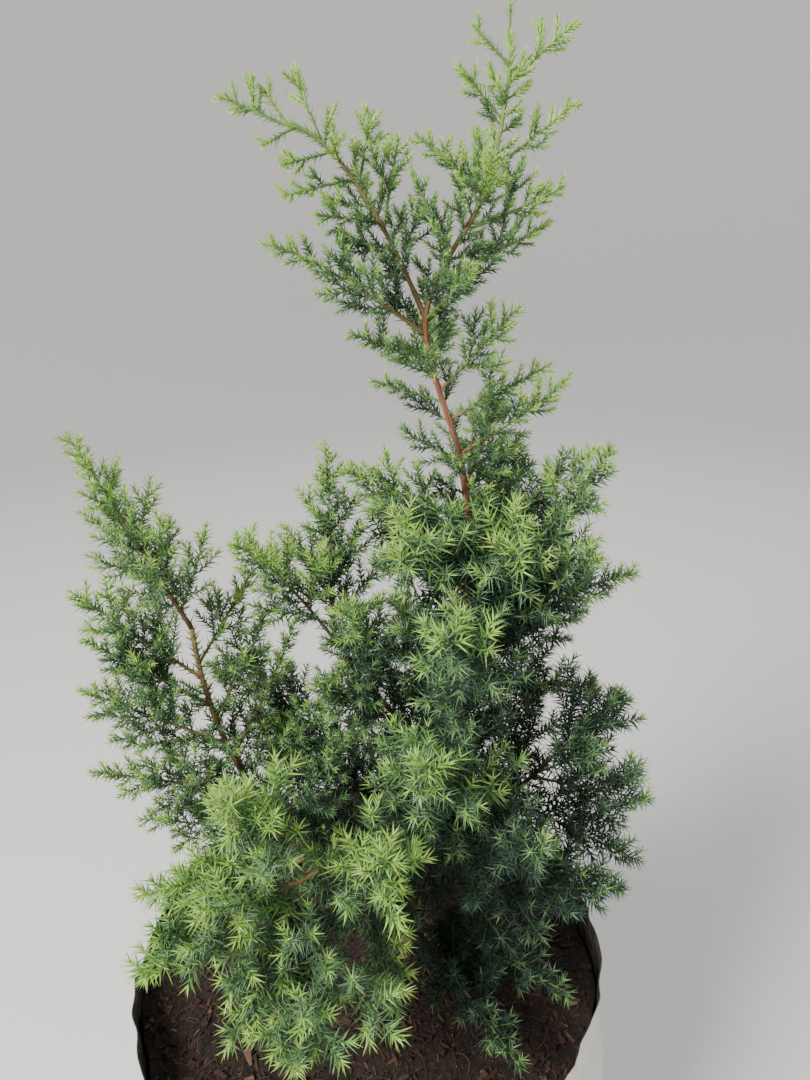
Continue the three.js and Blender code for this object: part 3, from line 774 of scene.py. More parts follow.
def along_many(paths, share):
    """The point of each path at its own share."""
    place = np.clip(share, 0, 1) * (paths.shape[1] - 1)
    first = np.minimum(np.floor(place).astype(int), paths.shape[1] - 2)
    rows = np.arange(len(paths))
    here = paths[rows, first]
    return here + (paths[rows, first + 1] - here) * (place - first)[:, None]


def twig_paths(starts, directions, sizes, shares, points):
    """Straight out, bent up towards the light by the square of the way along."""
    t = np.linspace(0, 1, points)[None, :, None] * shares[:, None, None]
    size = sizes[:, None, None]
    return starts[:, None] + directions[:, None] * size * t + UP * TWIG_LIFT * size * t * t


def spread_from(tangent, turn, angle):
    """Directions at an angle to each tangent, turned round it from the level direction."""
    level, steep = frame_on(tangent)
    spread = math.radians(angle)
    aside = level * np.cos(turn)[:, None] + steep * np.sin(turn)[:, None]
    return tangent * math.cos(spread) + aside * math.sin(spread)


def twigs_within(starts, directions, sizes, owner, shortest, points):
    """Twigs cut where they run out of room, and the short ones dropped."""
    whole = twig_paths(starts, directions, sizes, np.ones(len(sizes)), 13)
    share = share_inside(whole, owner)
    kept = share * sizes >= shortest
    paths = twig_paths(starts[kept], directions[kept], sizes[kept], share[kept], points)
    return paths, kept


def side_twigs(shift, turned, share, extra):
    """Side twigs, evenly spaced along each stem, each turned on from the last by the same
    angle, shorter towards its tip by a power of the share that is left. The short ones
    between them are shifted and turned, and have a share of that length and a little more."""
    starts, directions, sizes, owner, outward = [], [], [], [], []
    for number, (*_, longest) in enumerate(ALL_SPRAYS.values()):
        path = STEMS[number]
        length = length_of(path)
        k = np.arange(int((length - BARE_ROOT) // TWIG_SPACING))
        t = (BARE_ROOT + TWIG_SPACING * (k + 1 - shift)) / length
        varied = TWIG_LEAST + TWIG_CHANCE * chance(number, k, 7)
        size = share * longest * (1 - t) ** TWIG_TAPER * varied + extra
        turn = np.radians(TWIG_TURN * k + FIRST_TURN * number + turned)
        starts.append(along(path, t))
        directions.append(spread_from(heading_along(path, t), turn, TWIG_ANGLE))
        sizes.append(size)
        owner.append(np.full(len(k), number))
        outward.append(t)
    starts, directions, sizes, owner, outward = (
        np.concatenate(a) for a in (starts, directions, sizes, owner, outward)
    )
    paths, kept = twigs_within(starts, directions, sizes, owner, SPRIG_SHORTEST, 7)
    light = spray_light(owner[kept], outward[kept], 11)
    return sprays_with(TWIG_WOOD, paths, owner[kept], sizes[kept], light)


def sprigs_of(twigs, seed):
    """The finest shoots: along each twig by the same rule, each a share of the length that
    is left beyond it."""
    spacing = by_region(SPRIG_SPACING, twigs.owner)
    count = np.maximum((twigs.lengths - 2 * SPRIG_BARE) // spacing, 0).astype(int)
    index = np.repeat(np.arange(len(twigs.paths)), count)
    k = np.arange(len(index)) - np.repeat(np.cumsum(count) - count, count)
    place = SPRIG_BARE + spacing[index] * (k + 0.5)
    t = place / twigs.lengths[index]
    beyond = twigs.lengths[index] - place
    size = (SPRIG_SHARE * beyond + SPRIG_EXTRA) * (0.8 + 0.4 * chance(index, k, seed))
    paths = twigs.paths[index]
    tangent = unit(along_many(np.gradient(paths, axis=1), t))
    turn = np.radians(TWIG_TURN * k + SPRIG_TURN * index)
    directions = spread_from(tangent, turn, SPRIG_ANGLE)
    starts = along_many(paths, t)
    found, kept = twigs_within(starts, directions, size, None, SPRIG_SHORTEST, 3)
    # Sprigs stand further out, so they get a little more painted light than their twig
    light = twigs.light[index][kept] + SPRIG_PAINTED_LIGHT
    return sprays_with(SPRIG_WOOD, found, twigs.owner[index][kept], size[kept], light)


def short_shoots(name, seed):
    """Short leafy shoots that come straight out of a bough's or the trunk's own bark, much
    shorter towards the viewer where the trunk is bare."""
    first, size = SHOOTS[name]
    limb = LIMBS[name]
    length = length_of(limb.clear)
    k = np.arange(int((length - first) // SHOOT_SPACING))
    t = (first + SHOOT_SPACING * (k + 0.5)) / length
    starts = along(limb.clear, t)
    turn = np.radians(TWIG_TURN * k + 50 * seed)
    directions = spread_from(heading_along(limb.clear, t), turn, SHOOT_ANGLE)
    sizes = (size * (1 - t * t) + SHOOT_EXTRA * (1 - t)) * (0.6 + 0.6 * chance(k, seed, 3))
    height = starts[:, 2] - SOIL_LEVEL
    towards_viewer = directions[:, 1] < 0.25
    bare = (height > BARE_BARK[0]) & (height < BARE_BARK[1]) & towards_viewer
    sizes = np.where(bare, BARE_SHARE * sizes, sizes)
    paths, kept = twigs_within(starts, directions, sizes, None, SPRIG_SHORTEST, 7)
    owner = distances_to_stems(paths[:, -1]).argmin(1)
    # Short shoots from the bark sit deep in the crown and get painted shade
    light = spray_light(owner, t[kept], 100 + seed) - SHOOT_PAINTED_SHADE
    shoots = sprays_with(SHORT_WOOD, paths, owner, sizes[kept], light)
    shoots.bare = shoots.bare + limb.radius_at(t[kept])
    return shoots


def join_sprays(several):
    """Several bundles of shoots, with paths of one length of array, as one bundle."""
    names = ("paths", "owner", "foot", "tip", "bare", "light")
    return Sprays(*(np.concatenate([getattr(s, n) for s in several]) for n in names))


# Making meshes

def put_mesh(name, points, blocks, materials, wearing=None, smooth=True):
    """A mesh object from points in millimetres and blocks of faces, where each block is an
    array of faces with one count of corners, and wearing says which material each face has."""
    mesh = bpy.data.meshes.new(name)
    corners = np.concatenate([np.full(len(b), b.shape[1], np.int32) for b in blocks])
    starts = np.cumsum(corners) - corners
    flat = np.concatenate([b.ravel() for b in blocks]).astype(np.int32)
    mesh.vertices.add(len(points))
    mesh.vertices.foreach_set("co", (points * MM).astype(np.float32).ravel())
    mesh.loops.add(len(flat))
    mesh.loops.foreach_set("vertex_index", flat)
    mesh.polygons.add(len(corners))
    mesh.polygons.foreach_set("loop_start", starts.astype(np.int32))
    for material in materials:
        mesh.materials.append(material)
    if wearing is not None:
        mesh.polygons.foreach_set("material_index", wearing.astype(np.int32))
    mesh.polygons.foreach_set("use_smooth", np.full(len(corners), smooth))
    mesh.update(calc_edges=True)
    mesh.validate()
    piece = bpy.data.objects.new(name, mesh)
    bpy.context.scene.collection.objects.link(piece)
    return piece


def give_place(piece, name, kind, values):
    """Stores a value or a vector on each vertex of a piece, for its material to read."""
    attribute = piece.data.attributes.new(name, kind, "POINT")
    key = "vector" if kind == "FLOAT_VECTOR" else "value"
    attribute.data.foreach_set(key, values.astype(np.float32).ravel())


def shell_faces(rows, around):
    """The squares between rings of points that run round, and a fan of triangles from each
    end ring to the point in its middle, which follow the rings' points."""
    row, column = np.meshgrid(np.arange(rows - 1), np.arange(around), indexing="ij")
    here = row * around + column
    beside = row * around + (column + 1) % around
    squares = np.stack([here, beside, beside + around, here + around], -1).reshape(-1, 4)
    k = np.arange(around)
    after = (k + 1) % around
    top = (rows - 1) * around
    first = np.stack([after, k, np.full(around, rows * around)], -1)
    last = np.stack([top + k, top + after, np.full(around, rows * around + 1)], -1)
    return squares, np.concatenate([first, last])


def dress(piece, slot, *nodes):
    """A finished piece moves with the plant and stands for its nodes."""
    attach(piece, "root")
    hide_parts(*nodes)


# The bag

def bag_radius(angle, height):
    """The source's outline: a rounded foot, a full belly, and folds that deepen upwards."""
    corner = np.sqrt(np.maximum(0, 1 - (1 - np.minimum(height, BAG_CORNER) / BAG_CORNER) ** 2))
    belly = np.sin(math.pi * np.minimum(1, height / (BAG_HEIGHT * BELLY_RISE)))
    foot = BAG_BASE_RADIUS + CORNER_OUT * corner
    body = foot + (BAG_BELLY_RADIUS - BAG_BASE_RADIUS - CORNER_OUT) * belly
    slack = smoothstep(height, 40, BAG_HEIGHT)
    folds = 0.6 * np.cos(5 * angle + 0.4) + 0.4 * np.cos(9 * angle + 2.1)
    return body + FOLD_DEPTH * slack * folds + RIM_OUT * slack


def crease_noise(name, angle, height):
    """Lattice noise for one kind of crease, slanted as it goes up."""
    cells, slant, seed = CREASES[name][:3]
    up = height / BAG_HEIGHT
    return lattice_noise(angle / (2 * math.pi) + slant * up, up, cells, seed)


def waves(name, angle, height):
    """Soft waves, half of them in and half out."""
    return CREASES[name][3] * (crease_noise(name, angle, height) - 0.5)


def ridges(name, angle, height):
    """Sharp ridges where the noise crosses its middle, by a power of how near it is."""
    depth, power = CREASES[name][3:]
    return depth * (1 - np.abs(2 * crease_noise(name, angle, height) - 1)) ** power


def bag_creases(angle, height):
    """What thin film adds: soft dents over the mix, sharp ridges where slanted dents meet,
    level buckles near the foot, and narrow pleats that deepen towards the free rim."""
    free = smoothstep(height, 235, BAG_HEIGHT)
    settled = smoothstep(height, 6, 40)
    low = 1 - smoothstep(height, 60, 150)
    soft = waves("dents", angle, height) + waves("lumps", angle, height)
    sharp = ridges("rightward", angle, height) + ridges("leftward", angle, height)
    body = soft + sharp + low * ridges("buckles", angle, height) - CREASE_MEAN
    return settled * (1 - 0.5 * free) * body + free * waves("pleats", angle, height)


def rim_height(angle):
    """The source's slow waves, with the small ones of a cut film edge."""
    slow = RIM_WAVE * (0.6 * np.cos(3 * angle + 1.2) + 0.4 * np.cos(7 * angle)) - RIM_WAVE
    return BAG_HEIGHT + slow + 0.9 * np.cos(19 * angle + 0.7) + 0.6 * np.cos(31 * angle)


def bag_height(row, angle):
    """Rows above WAVY_ABOVE follow the wavy rim more and more."""
    wavy = smoothstep(row, WAVY_ABOVE, BAG_HEIGHT)
    return row * (1 + wavy * (rim_height(angle) / BAG_HEIGHT - 1))


def bag_rows():
    """Heights of the wall's rows: close together round the foot, then even."""
    corner = BAG_CORNER * (1 - np.cos(np.linspace(0, math.pi / 2, 9)))
    return np.concatenate([corner, np.linspace(BAG_CORNER, BAG_HEIGHT, 64)[1:]])


def ring_points(angle, radius, height):
    """Points round the bag's axis."""
    return np.stack([radius * np.cos(angle), radius * np.sin(angle), height + 0 * angle], -1)


def make_bag(outside, inside):
    """One closed skin: the flat underside, the outer wall up to the rim, and the inner wall
    down again, a film's thickness in from it. The outer wall is milky, the inner one black."""
    around = 256
    angle, row = np.meshgrid(np.arange(around) / around * 2 * math.pi, bag_rows())
    height = bag_height(row, angle)
    lip = LIP * smoothstep(row, BAG_HEIGHT - LIP_HEIGHT, BAG_HEIGHT)
    outer = bag_radius(angle, row) + bag_creases(angle, row) + lip
    wall = BAG_WALL + (RIM_WALL - BAG_WALL) * smoothstep(row, 250, 290)
    under_rings = 8
    shares = np.linspace(0.12, 0.94, under_rings)[:, None]
    under = ring_points(angle[:under_rings], shares * outer[0], np.zeros((under_rings, around)))
    outside_wall = ring_points(angle, outer, height)
    kept = bag_rows() > BAG_FLOOR
    inside_wall = ring_points(angle, outer - wall, height)[kept][::-1]
    rings = np.concatenate([under, outside_wall, inside_wall])
    ends = np.array([[0, 0, 0], [0, 0, BAG_FLOOR]])
    squares, fans = shell_faces(len(rings), around)
    inner_from = under_rings + len(outside_wall)
    wearing = np.repeat(np.arange(len(rings) - 1) >= inner_from - 1, around)
    wearing = np.concatenate([wearing, np.zeros(around), np.ones(around)])
    points = np.concatenate([rings.reshape(-1, 3), ends])
    return put_mesh("grow_bag_film", points, [squares, fans], [outside, inside], wearing)


# The potting mix

def from_trunk(x, y):
    """How far a place on the mix is from the trunk's foot."""
    return np.hypot(x - TRUNK_BENDS[0][1], y - TRUNK_BENDS[0][2])


def soil_height(x, y):
    """The source's surface: level round the trunk, with low waves away from it."""
    away = smoothstep(from_trunk(x, y), 24, 70)
    return SOIL_LEVEL + away * (2.5 * np.sin(x / 31 + 0.6) * np.cos(y / 37) - 3)


def mix_height(x, y):
    """The surface with the crumbs of the mix on it, from coarse and fine lattice noise."""
    share_x, share_y = x / NOISE_BREADTH + 0.5, y / NOISE_BREADTH + 0.5
    coarse = lattice_noise(share_x, share_y, (30, 30), 21) - 0.5
    fine = lattice_noise(share_x, share_y, (95, 95), 22) - 0.5
    return soil_height(x, y) + COARSE_CRUMBS * coarse + FINE_CRUMBS * fine


def mix_edge(angle):
    """The radius of the mix at its surface, just inside the film."""
    return bag_radius(angle, MIX_TOP_EDGE) + bag_creases(angle, MIX_TOP_EDGE) - BAG_WALL - MIX_GAP


def make_mix(material):
    """A closed bed: from the floor of the bag up its wall, and the crumbly surface, whose
    rings run in by even shares of the edge's radius."""
    around = 260
    angle = np.arange(around) / around * 2 * math.pi
    walls = [ring_points(angle, bag_radius(angle, h) - MIX_INSET, h) for h in MIX_WALL_HEIGHTS]
    walls.append(ring_points(angle, mix_edge(angle), MIX_TOP_EDGE - 3))
    surface = []
    for share in np.linspace(1, 0.012, 72):
        ring = ring_points(angle, mix_edge(angle) * share, 0)
        ring[:, 2] = mix_height(ring[:, 0], ring[:, 1])
        surface.append(ring)
    rings = np.stack(walls + surface)
    ends = np.array([[0, 0, MIX_FLOOR], [0, 0, mix_height(np.zeros(1), np.zeros(1))[0]]])
    points = np.concatenate([rings.reshape(-1, 3), ends])
    return put_mesh("potting_mix_bed", points, shell_faces(len(rings), around), [material])


def scattered(count, draw, reach=0.985):
    """Places on the mix, even by area and clear of the trunk's foot."""
    angle = draw.uniform(0, 2 * math.pi, count)
    radius = mix_edge(angle) * reach * np.sqrt(draw.uniform(0, 1, count))
    x, y = radius * np.cos(angle), radius * np.sin(angle)
    clear = from_trunk(x, y) > CHIPS_CLEAR
    return x[clear], y[clear]


def chip_blocks(length, width, depth, draw):
    """Each chip's eight corners about its middle: a box, its far end narrowed and the whole
    bent by a share of the place along it, and then every corner moved a little."""
    count = len(length)
    shape = BOX_CORNERS[None] * np.stack([length, width, depth], -1)[:, None] / 2
    far_end = np.where(BOX_CORNERS[:, 0] > 0, 1, 0)[None]
    shape[..., 1] *= 1 - far_end * draw.uniform(0.3, 0.8, (count, 1))
    shape[..., 2] += 0.25 * shape[..., 0] * draw.uniform(-1, 1, (count, 1))
    return shape + draw.uniform(-0.12, 0.12, shape.shape) * width[:, None, None]


def chip_directions(count, draw):
    """The directions along, across and up from each chip: turned by any angle, and tilted
    and rolled by small ones."""
    turn, tilt = draw.uniform(0, 2 * math.pi, count), draw.normal(0, 0.35, count)
    level_part = np.cos(tilt)
    ahead = np.stack([np.cos(turn) * level_part, np.sin(turn) * level_part, np.sin(tilt)], -1)
    roll = draw.normal(0, 0.4, count)
    level, steep = frame_on(ahead)
    side = level * np.cos(roll)[:, None] + steep * np.sin(roll)[:, None]
    return ahead, side, np.cross(ahead, side)


def make_chips(materials):
    """Chips of bark, from splinters of 1.6 mm to pieces of 11 mm, most of them under 5, sunk
    in the mix by a third. The logarithm of their length is drawn from a normal curve."""
    draw = np.random.RandomState(31)
    x, y = scattered(CHIP_COUNT, draw)
    count = len(x)
    length = np.clip(np.exp(draw.normal(1.28, 0.45, count)), 1.6, 11)
    width = length * draw.uniform(0.22, 0.5, count)
    depth = np.clip(length * draw.uniform(0.1, 0.22, count), 0.6, 2)
    shape = chip_blocks(length, width, depth, draw)
    ahead, side, above = chip_directions(count, draw)
    centre = np.stack([x, y, mix_height(x, y) + 0.2 * depth], -1)
    points = centre[:, None] + shape[..., :1] * ahead[:, None] + shape[..., 1:2] * side[:, None]
    points = points + shape[..., 2:] * above[:, None]
    faces = (np.arange(count)[:, None, None] * 8 + BOX_FACES).reshape(-1, 4)
    kind = draw.choice(len(materials), count, p=CHIP_SHARES)
    wearing = np.repeat(kind, len(BOX_FACES))
    return put_mesh("mix_chips", points.reshape(-1, 3), [faces], materials, wearing, smooth=False)


def fibre_paths(x, y, draw):
    """Arcs of even steps: the heading turns evenly along each, and a half wave lifts it."""
    count = len(x)
    length = draw.uniform(5, 24, count)
    turn = draw.uniform(0, 2 * math.pi, count)
    bend = draw.normal(0, 1.3, count)
    t = np.linspace(0, 1, 8)
    heading = turn[:, None] + bend[:, None] * (t - 0.5)
    step = length[:, None] / (len(t) - 1)
    along_x = x[:, None] + np.cumsum(np.cos(heading) * step, axis=1)
    along_y = y[:, None] + np.cumsum(np.sin(heading) * step, axis=1)
    rise = draw.uniform(0.3, 4.5, count)[:, None] * np.sin(math.pi * t)
    height = mix_height(along_x, along_y) + 0.5 + rise
    kept = np.hypot(along_x, along_y).max(1) < BAG_BASE_RADIUS + 8
    return np.stack([along_x, along_y, height], -1)[kept]


def make_fibres(materials):
    """Coir fibres: three-sided threads along short arcs that rise off the mix in the middle."""
    draw = np.random.RandomState(32)
    x, y = scattered(FIBRE_COUNT, draw, 0.95)
    paths = fibre_paths(x, y, draw)
    thick = draw.uniform(0.13, 0.27, len(paths))
    kind = draw.choice(len(materials), len(paths), p=FIBRE_SHARES)
    return make_tubes("mix_fibres", paths, thick, 0.7 * thick, 3, materials, kind[:, None])


# Bark

def make_tubes(name, paths, foot, tip, sides, materials, wearing):
    """Many thin round shoots in one mesh: rings of few points along each path, its radius
    going evenly from foot to tip. A curved path keeps one level direction throughout."""
    count, rows = paths.shape[:2]
    tangent = unit(np.gradient(paths, axis=1))
    level = frame_on(unit(paths[:, -1] - paths[:, 0]))[0][:, None]
    level = unit(level - tangent * (level * tangent).sum(-1, keepdims=True))
    steep = np.cross(tangent, level)
    share = np.linspace(0, 1, rows)
    radius = np.asarray(foot)[:, None] * (1 - share) + np.asarray(tip)[:, None] * share
    angle = np.arange(sides) / sides * 2 * math.pi
    ring = level[:, :, None] * np.cos(angle)[:, None] + steep[:, :, None] * np.sin(angle)[:, None]
    rings = paths[:, :, None] + ring * radius[:, :, None, None]
    points = np.concatenate([rings.reshape(count, -1, 3), paths[:, :1], paths[:, -1:]], 1)
    squares, fans = shell_faces(rows, sides)
    offset = np.arange(count)[:, None, None] * points.shape[1]
    per_ring = np.broadcast_to(wearing, (count, rows - 1))
    worn = np.repeat(per_ring, sides, axis=1).ravel()
    end = np.repeat(per_ring[:, [0, -1]], sides, axis=1)
    blocks = [(squares + offset).reshape(-1, 4), (fans + offset).reshape(-1, 3)]
    worn = np.concatenate([worn, end.ravel()])
    return put_mesh(name, points.reshape(-1, 3), blocks, materials, worn)


def bark_relief(share_round, share_along, length, seed):
    """Height of the bark's surface: strips that run along the limb and peel at their edges,
    cross cracks far apart, and fine grain."""

    def noise(round_it, size, least, shift):
        """Noise with cells of one size along the limb, and at least a few of them."""
        cells = (round_it, max(least, int(length / size)))
        return lattice_noise(share_round, share_along, cells, seed + shift)

    strips = noise(round_it=9, size=STRIP_LENGTH, least=3, shift=0)
    grain = noise(round_it=23, size=GRAIN_LENGTH, least=8, shift=1)
    cracks = noise(round_it=4, size=CRACK_LENGTH, least=6, shift=2)
    edge = smoothstep(np.abs(strips - 0.5), 0.0, 0.09)
    return 0.9 * (strips - 0.5) + 0.5 * (edge - 0.5) + 0.35 * (grain - 0.5) + 0.25 * (cracks - 0.5)


def bark_mesh(name, centres, level, steep, base, relief_depth, youth, seed, material):
    """Bark round a path: rings whose radius is the limb's own and the bark's relief, with
    each point's place on the unrolled bark and the wood's youth stored for its colour."""
    rows, around = base.shape
    angle = np.arange(around) / around * 2 * math.pi
    run = np.concatenate([[0], np.cumsum(np.linalg.norm(np.diff(centres, axis=0), axis=1))])
    share_round = np.broadcast_to(angle / (2 * math.pi), base.shape)
    share_along = np.broadcast_to((run / run[-1])[:, None], base.shape)
    relief = bark_relief(share_round, share_along, run[-1], seed)
    radius = base + relief_depth * relief
    ring = level * np.cos(angle)[None, :, None] + steep * np.sin(angle)[None, :, None]
    points = centres[:, None] + ring * radius[..., None]
    squares, fans = shell_faces(rows, around)
    everything = np.concatenate([points.reshape(-1, 3), centres[:1], centres[-1:]])
    piece = put_mesh(name, everything, [squares, fans], [material])
    mean = base.mean(1)[:, None] + 0 * base
    place = np.stack([mean * np.cos(angle), mean * np.sin(angle), run[:, None] + 0 * base], -1)
    ends = np.array([[0, 0, run[0]], [0, 0, run[-1]]])
    give_place(piece, "bark_place", "FLOAT_VECTOR", np.concatenate([place.reshape(-1, 3), ends]) * MM)
    young = np.broadcast_to(np.asarray(youth)[:, None], base.shape).ravel()
    give_place(piece, "youth", "FLOAT", np.concatenate([young, young[:1], young[-1:]]))
    worn = relief.ravel()
    give_place(piece, "raised", "FLOAT", np.concatenate([worn, worn[:1], worn[-1:]]))
    return piece


def collars(centres, angle, starts):
    """The swelling of the trunk round each limb that leaves it: a soft bump about the place
    and the side that it leaves from."""
    bump = np.zeros((len(centres), len(angle)))
    for height, heading, thick in starts:
        down = (centres[:, 2] - SOIL_LEVEL - height - 2)[:, None]
        turned = np.angle(np.exp(1j * (angle[None] - math.radians(heading))))
        bump += 0.5 * thick * np.exp(-((down / (2.2 * thick)) ** 2) - (turned / 0.75) ** 2)
    return bump


def trunk_surface(share, centres, angle):
    """The source's taper and root flare of four low ridges, slimmed to the width that the
    photograph shows, and a collar under each limb and stem."""
    height = np.maximum(centres[:, 2] - SOIL_LEVEL, -2)[:, None]
    flare = ROOT_FLARE * np.exp(-height / (ROOT_FLARE_HEIGHT / 2))
    base = trunk_radius(share)[:, None] + flare * (1 + 0.5 * np.cos(4 * angle + 0.5))
    slim = 1 - SLIM_LOW * smoothstep(share, 0.05, 0.3) - SLIM_HIGH * smoothstep(share, 0.3, 0.55)
    starts = [(at, heading, 0.8 * foot) for _, at, heading, *_, foot, _ in BOUGHS.values()]
    for carrier, at, heading, *_ in MASSES.values():
        if carrier == "trunk" and at < TRUNK_TOP:
            starts.append((at, heading, 0.9))
    return base * slim[:, None] + collars(centres, angle, starts)


def make_trunk(material):
    """The trunk from a few millimetres down in the mix to its tip, with the bark's relief."""
    around, rows = 32, 500
    upwards = np.linspace(0, 1, rows) ** 1.08
    centres = along(TRUNK, upwards)
    below = np.array([centres[0] - (0, 0, depth) for depth in (5.0, 2.5)])
    centres = np.concatenate([below, centres])
    share = np.concatenate([[0, 0], upwards])
    angle = np.arange(around) / around * 2 * math.pi
    base = trunk_surface(share, centres, angle)
    tangent = unit(np.gradient(centres, axis=0))
    east = np.array([1.0, 0.0, 0.0])
    level = unit(east - tangent * (tangent @ east)[:, None])[:, None]
    steep = np.cross(tangent[:, None], level)
    depth = BARK_DEPTH * trunk_radius(share)[:, None] / TRUNK_RADIUS + BARK_DEPTH_LEAST
    youth = smoothstep(share, 0.5, 0.86)
    piece = bark_mesh("trunk_bark", centres, level, steep, base, depth, youth, TRUNK_SEED, material)
    dress(piece, "bark", "trunk")


def make_boughs(material):
    """Each bough from inside the trunk to its tip, swollen where it leaves the bark. The one
    high on the left is green and thin."""
    for number, (name, (_, _, heading, *_)) in enumerate(BOUGHS.items()):
        limb = LIMBS[name]
        green = name == "upper_left_bough"
        length = length_of(limb.whole)
        rows, around = int(length / 1.1), 20
        share = np.linspace(0, 1, rows)
        centres = along(limb.whole, share)
        tangent = unit(np.gradient(centres, axis=0))
        turned = math.radians(heading)
        level = np.array([-math.sin(turned), math.cos(turned), 0.0])[None, None]
        steep = np.cross(tangent[:, None], level)
        swell = 1 + SWELL * np.exp(-share * length / SWELL_LENGTH)
        slim = SLIM_GREEN_BOUGH if green else SLIM_BOUGH
        base = slim * limb.radius_at(share)[:, None] * swell[:, None] + np.zeros((1, around))
        depth = BOUGH_BARK * limb.radius_at(share)[:, None] + BARK_DEPTH_LEAST
        youth = 0.1 + 0.5 * green + 0.5 * smoothstep(share, 0.3, 1.0)
        seed = BOUGH_SEED + 4 * number
        piece = bark_mesh(name + "_bark", centres, level, steep, base, depth, youth, seed, material)
        dress(piece, "bark", name)


# Needles

def shade_grid(bundles):
    """How many points of shoots lie in each cell of a grid over the crown."""
    steps = np.linspace(0.1, 1, SHOOT_POINTS)
    points = np.concatenate([
        along_many(np.repeat(s.paths, SHOOT_POINTS, 0), np.tile(steps, len(s.paths)))
        for s in bundles
    ])
    cells = np.floor((points - GRID_CORNER) / GRID_CELL).astype(int)
    grid = np.zeros(GRID_SIZE)
    np.add.at(grid, tuple(np.clip(cells, 0, np.array(GRID_SIZE) - 1).T), 1)
    return grid


def openness(points, grid):
    """How much light from above reaches each point: the mean over several directions of e to
    the power of minus the shoots that lie along it."""
    total = np.zeros(len(points))
    for turn in np.arange(LIGHT_WAYS) * LIGHT_TURN:
        rise = LOWEST_RISE + RISE_RANGE * (turn / LIGHT_TURN + 0.5) / LIGHT_WAYS
        flat = math.sqrt(1 - rise * rise)
        way = np.array([flat * math.cos(turn), flat * math.sin(turn), rise])
        passed = np.zeros(len(points))
        for step in np.arange(1, LIGHT_STEPS + 1) * LIGHT_STEP * GRID_CELL:
            cells = np.floor((points + way * step - GRID_CORNER) / GRID_CELL).astype(int)
            passed += grid[tuple(np.clip(cells, 0, np.array(GRID_SIZE) - 1).T)]
        total += np.exp(-SHADE * passed)
    return total / LIGHT_WAYS


def whorls_of(sprays):
    """Three needles for each whorl of each shoot: which shoot, which whorl, and how far that
    is from the tip. Whorls sit closer together towards the tip."""
    j = np.arange(MOST_WHORLS)
    step = by_region(WHORL_STEP, sprays.owner)[:, None] + WHORL_GROWTH * j
    from_tip = FIRST_WHORL + j * step
    shoot, whorl = np.nonzero(sprays.lengths[:, None] - from_tip > sprays.bare[:, None])
    shoot, whorl = np.repeat(shoot, 3), np.repeat(whorl, 3)
    return shoot, whorl, from_tip[shoot, whorl]


def needle_kinds(sprays, shoot, distance, grid, draw):
    """The colour of each needle: lighter where more light reaches its shoot and near the tip,
    varied by chance, and dry for a few, most of them far from the tip."""
    ends = along_many(sprays.paths, np.full(len(sprays.paths), LIT_AT))
    reached = openness(ends, grid)[shoot]
    fresh = (TIP_TONE + OPEN_TIP_TONE * reached) * np.exp(-distance / TIP_REACH)
    varied = draw.normal(0, TONE_CHANCE, len(shoot))
    tone = sprays.light[shoot] + OPEN_TONE * (reached - 0.5) + fresh + varied
    dry = draw.rand(len(shoot)) < DRY_INSIDE * smoothstep(distance, 20, 60) + DRY_ANYWHERE
    return np.where(dry, DRY, np.digitize(tone, TONE_STEPS))


def needle_places(sprays, seed, grid):
    """The root, directions, size and colour of each needle. Each whorl is turned half a gap
    on from the last, and needles lean in and shorten towards the shoot's tip."""
    draw = np.random.RandomState(seed)
    shoot, whorl, distance = whorls_of(sprays)
    count, owner = len(shoot), sprays.owner[shoot]
    share = 1 - distance / sprays.lengths[shoot]
    tangent = unit(along_many(np.gradient(sprays.paths, axis=1)[shoot], share))
    third = np.tile(np.arange(3), count // 3) * 2 * math.pi / 3
    turn = third + whorl * math.pi / 3 + shoot * NEXT_SHOOT_TURN
    turn = turn + draw.normal(0, TURN_CHANCE, count)
    level, steep = frame_on(tangent)
    aside = level * np.cos(turn)[:, None] + steep * np.sin(turn)[:, None]
    leaning = by_region(LEAN, owner) * (1 + LEAN_GROWTH * smoothstep(distance, 0, 8))
    lean = np.radians(leaning + draw.normal(0, LEAN_CHANCE, count))
    shortened = TIP_NEEDLE + (1 - TIP_NEEDLE) * smoothstep(distance, 0, 6)
    size = by_region(NEEDLE, owner) * shortened * (NEEDLE_LEAST + NEEDLE_CHANCE * draw.rand(count))
    wood = sprays.foot[shoot] + (sprays.tip[shoot] - sprays.foot[shoot]) * share
    root = along_many(sprays.paths[shoot], share) + aside * ROOTED * wood[:, None]
    ahead = tangent * np.cos(lean)[:, None] + aside * np.sin(lean)[:, None]
    above = tangent * np.sin(lean)[:, None] - aside * np.cos(lean)[:, None]
    return owner, root, ahead, above, size, needle_kinds(sprays, shoot, distance, grid, draw)


def needle_mesh(name, root, ahead, above, size, kind, materials):
    """Awl-shaped needles of four points: a keel at the root, two broad points near it, and a
    tip bent a little to the upper side. The bloom lies on the upper face."""
    aside = np.cross(ahead, above)
    size = size[:, None]
    broad = root + NEEDLE_BROAD_AT * size * ahead + NEEDLE_BELLY * size * above
    half = 0.5 * (NEEDLE_BREADTH + BREADTH_GROWTH * size) * aside
    keel = root - NEEDLE_KEEL * 0.5 * above
    tip = root + size * ahead + NEEDLE_BEND * size * above
    points = np.stack([keel, broad + half, broad - half, tip], 1).reshape(-1, 3)
    faces = np.array([(1, 3, 2), (0, 3, 1), (2, 3, 0), (0, 1, 2)])
    faces = (np.arange(len(root))[:, None, None] * 4 + faces).reshape(-1, 3)
    wearing = np.stack([np.array(UPPER_SIDE)[kind], kind, kind, kind], 1).ravel()
    return put_mesh(name, points, [faces], materials, wearing, smooth=False)


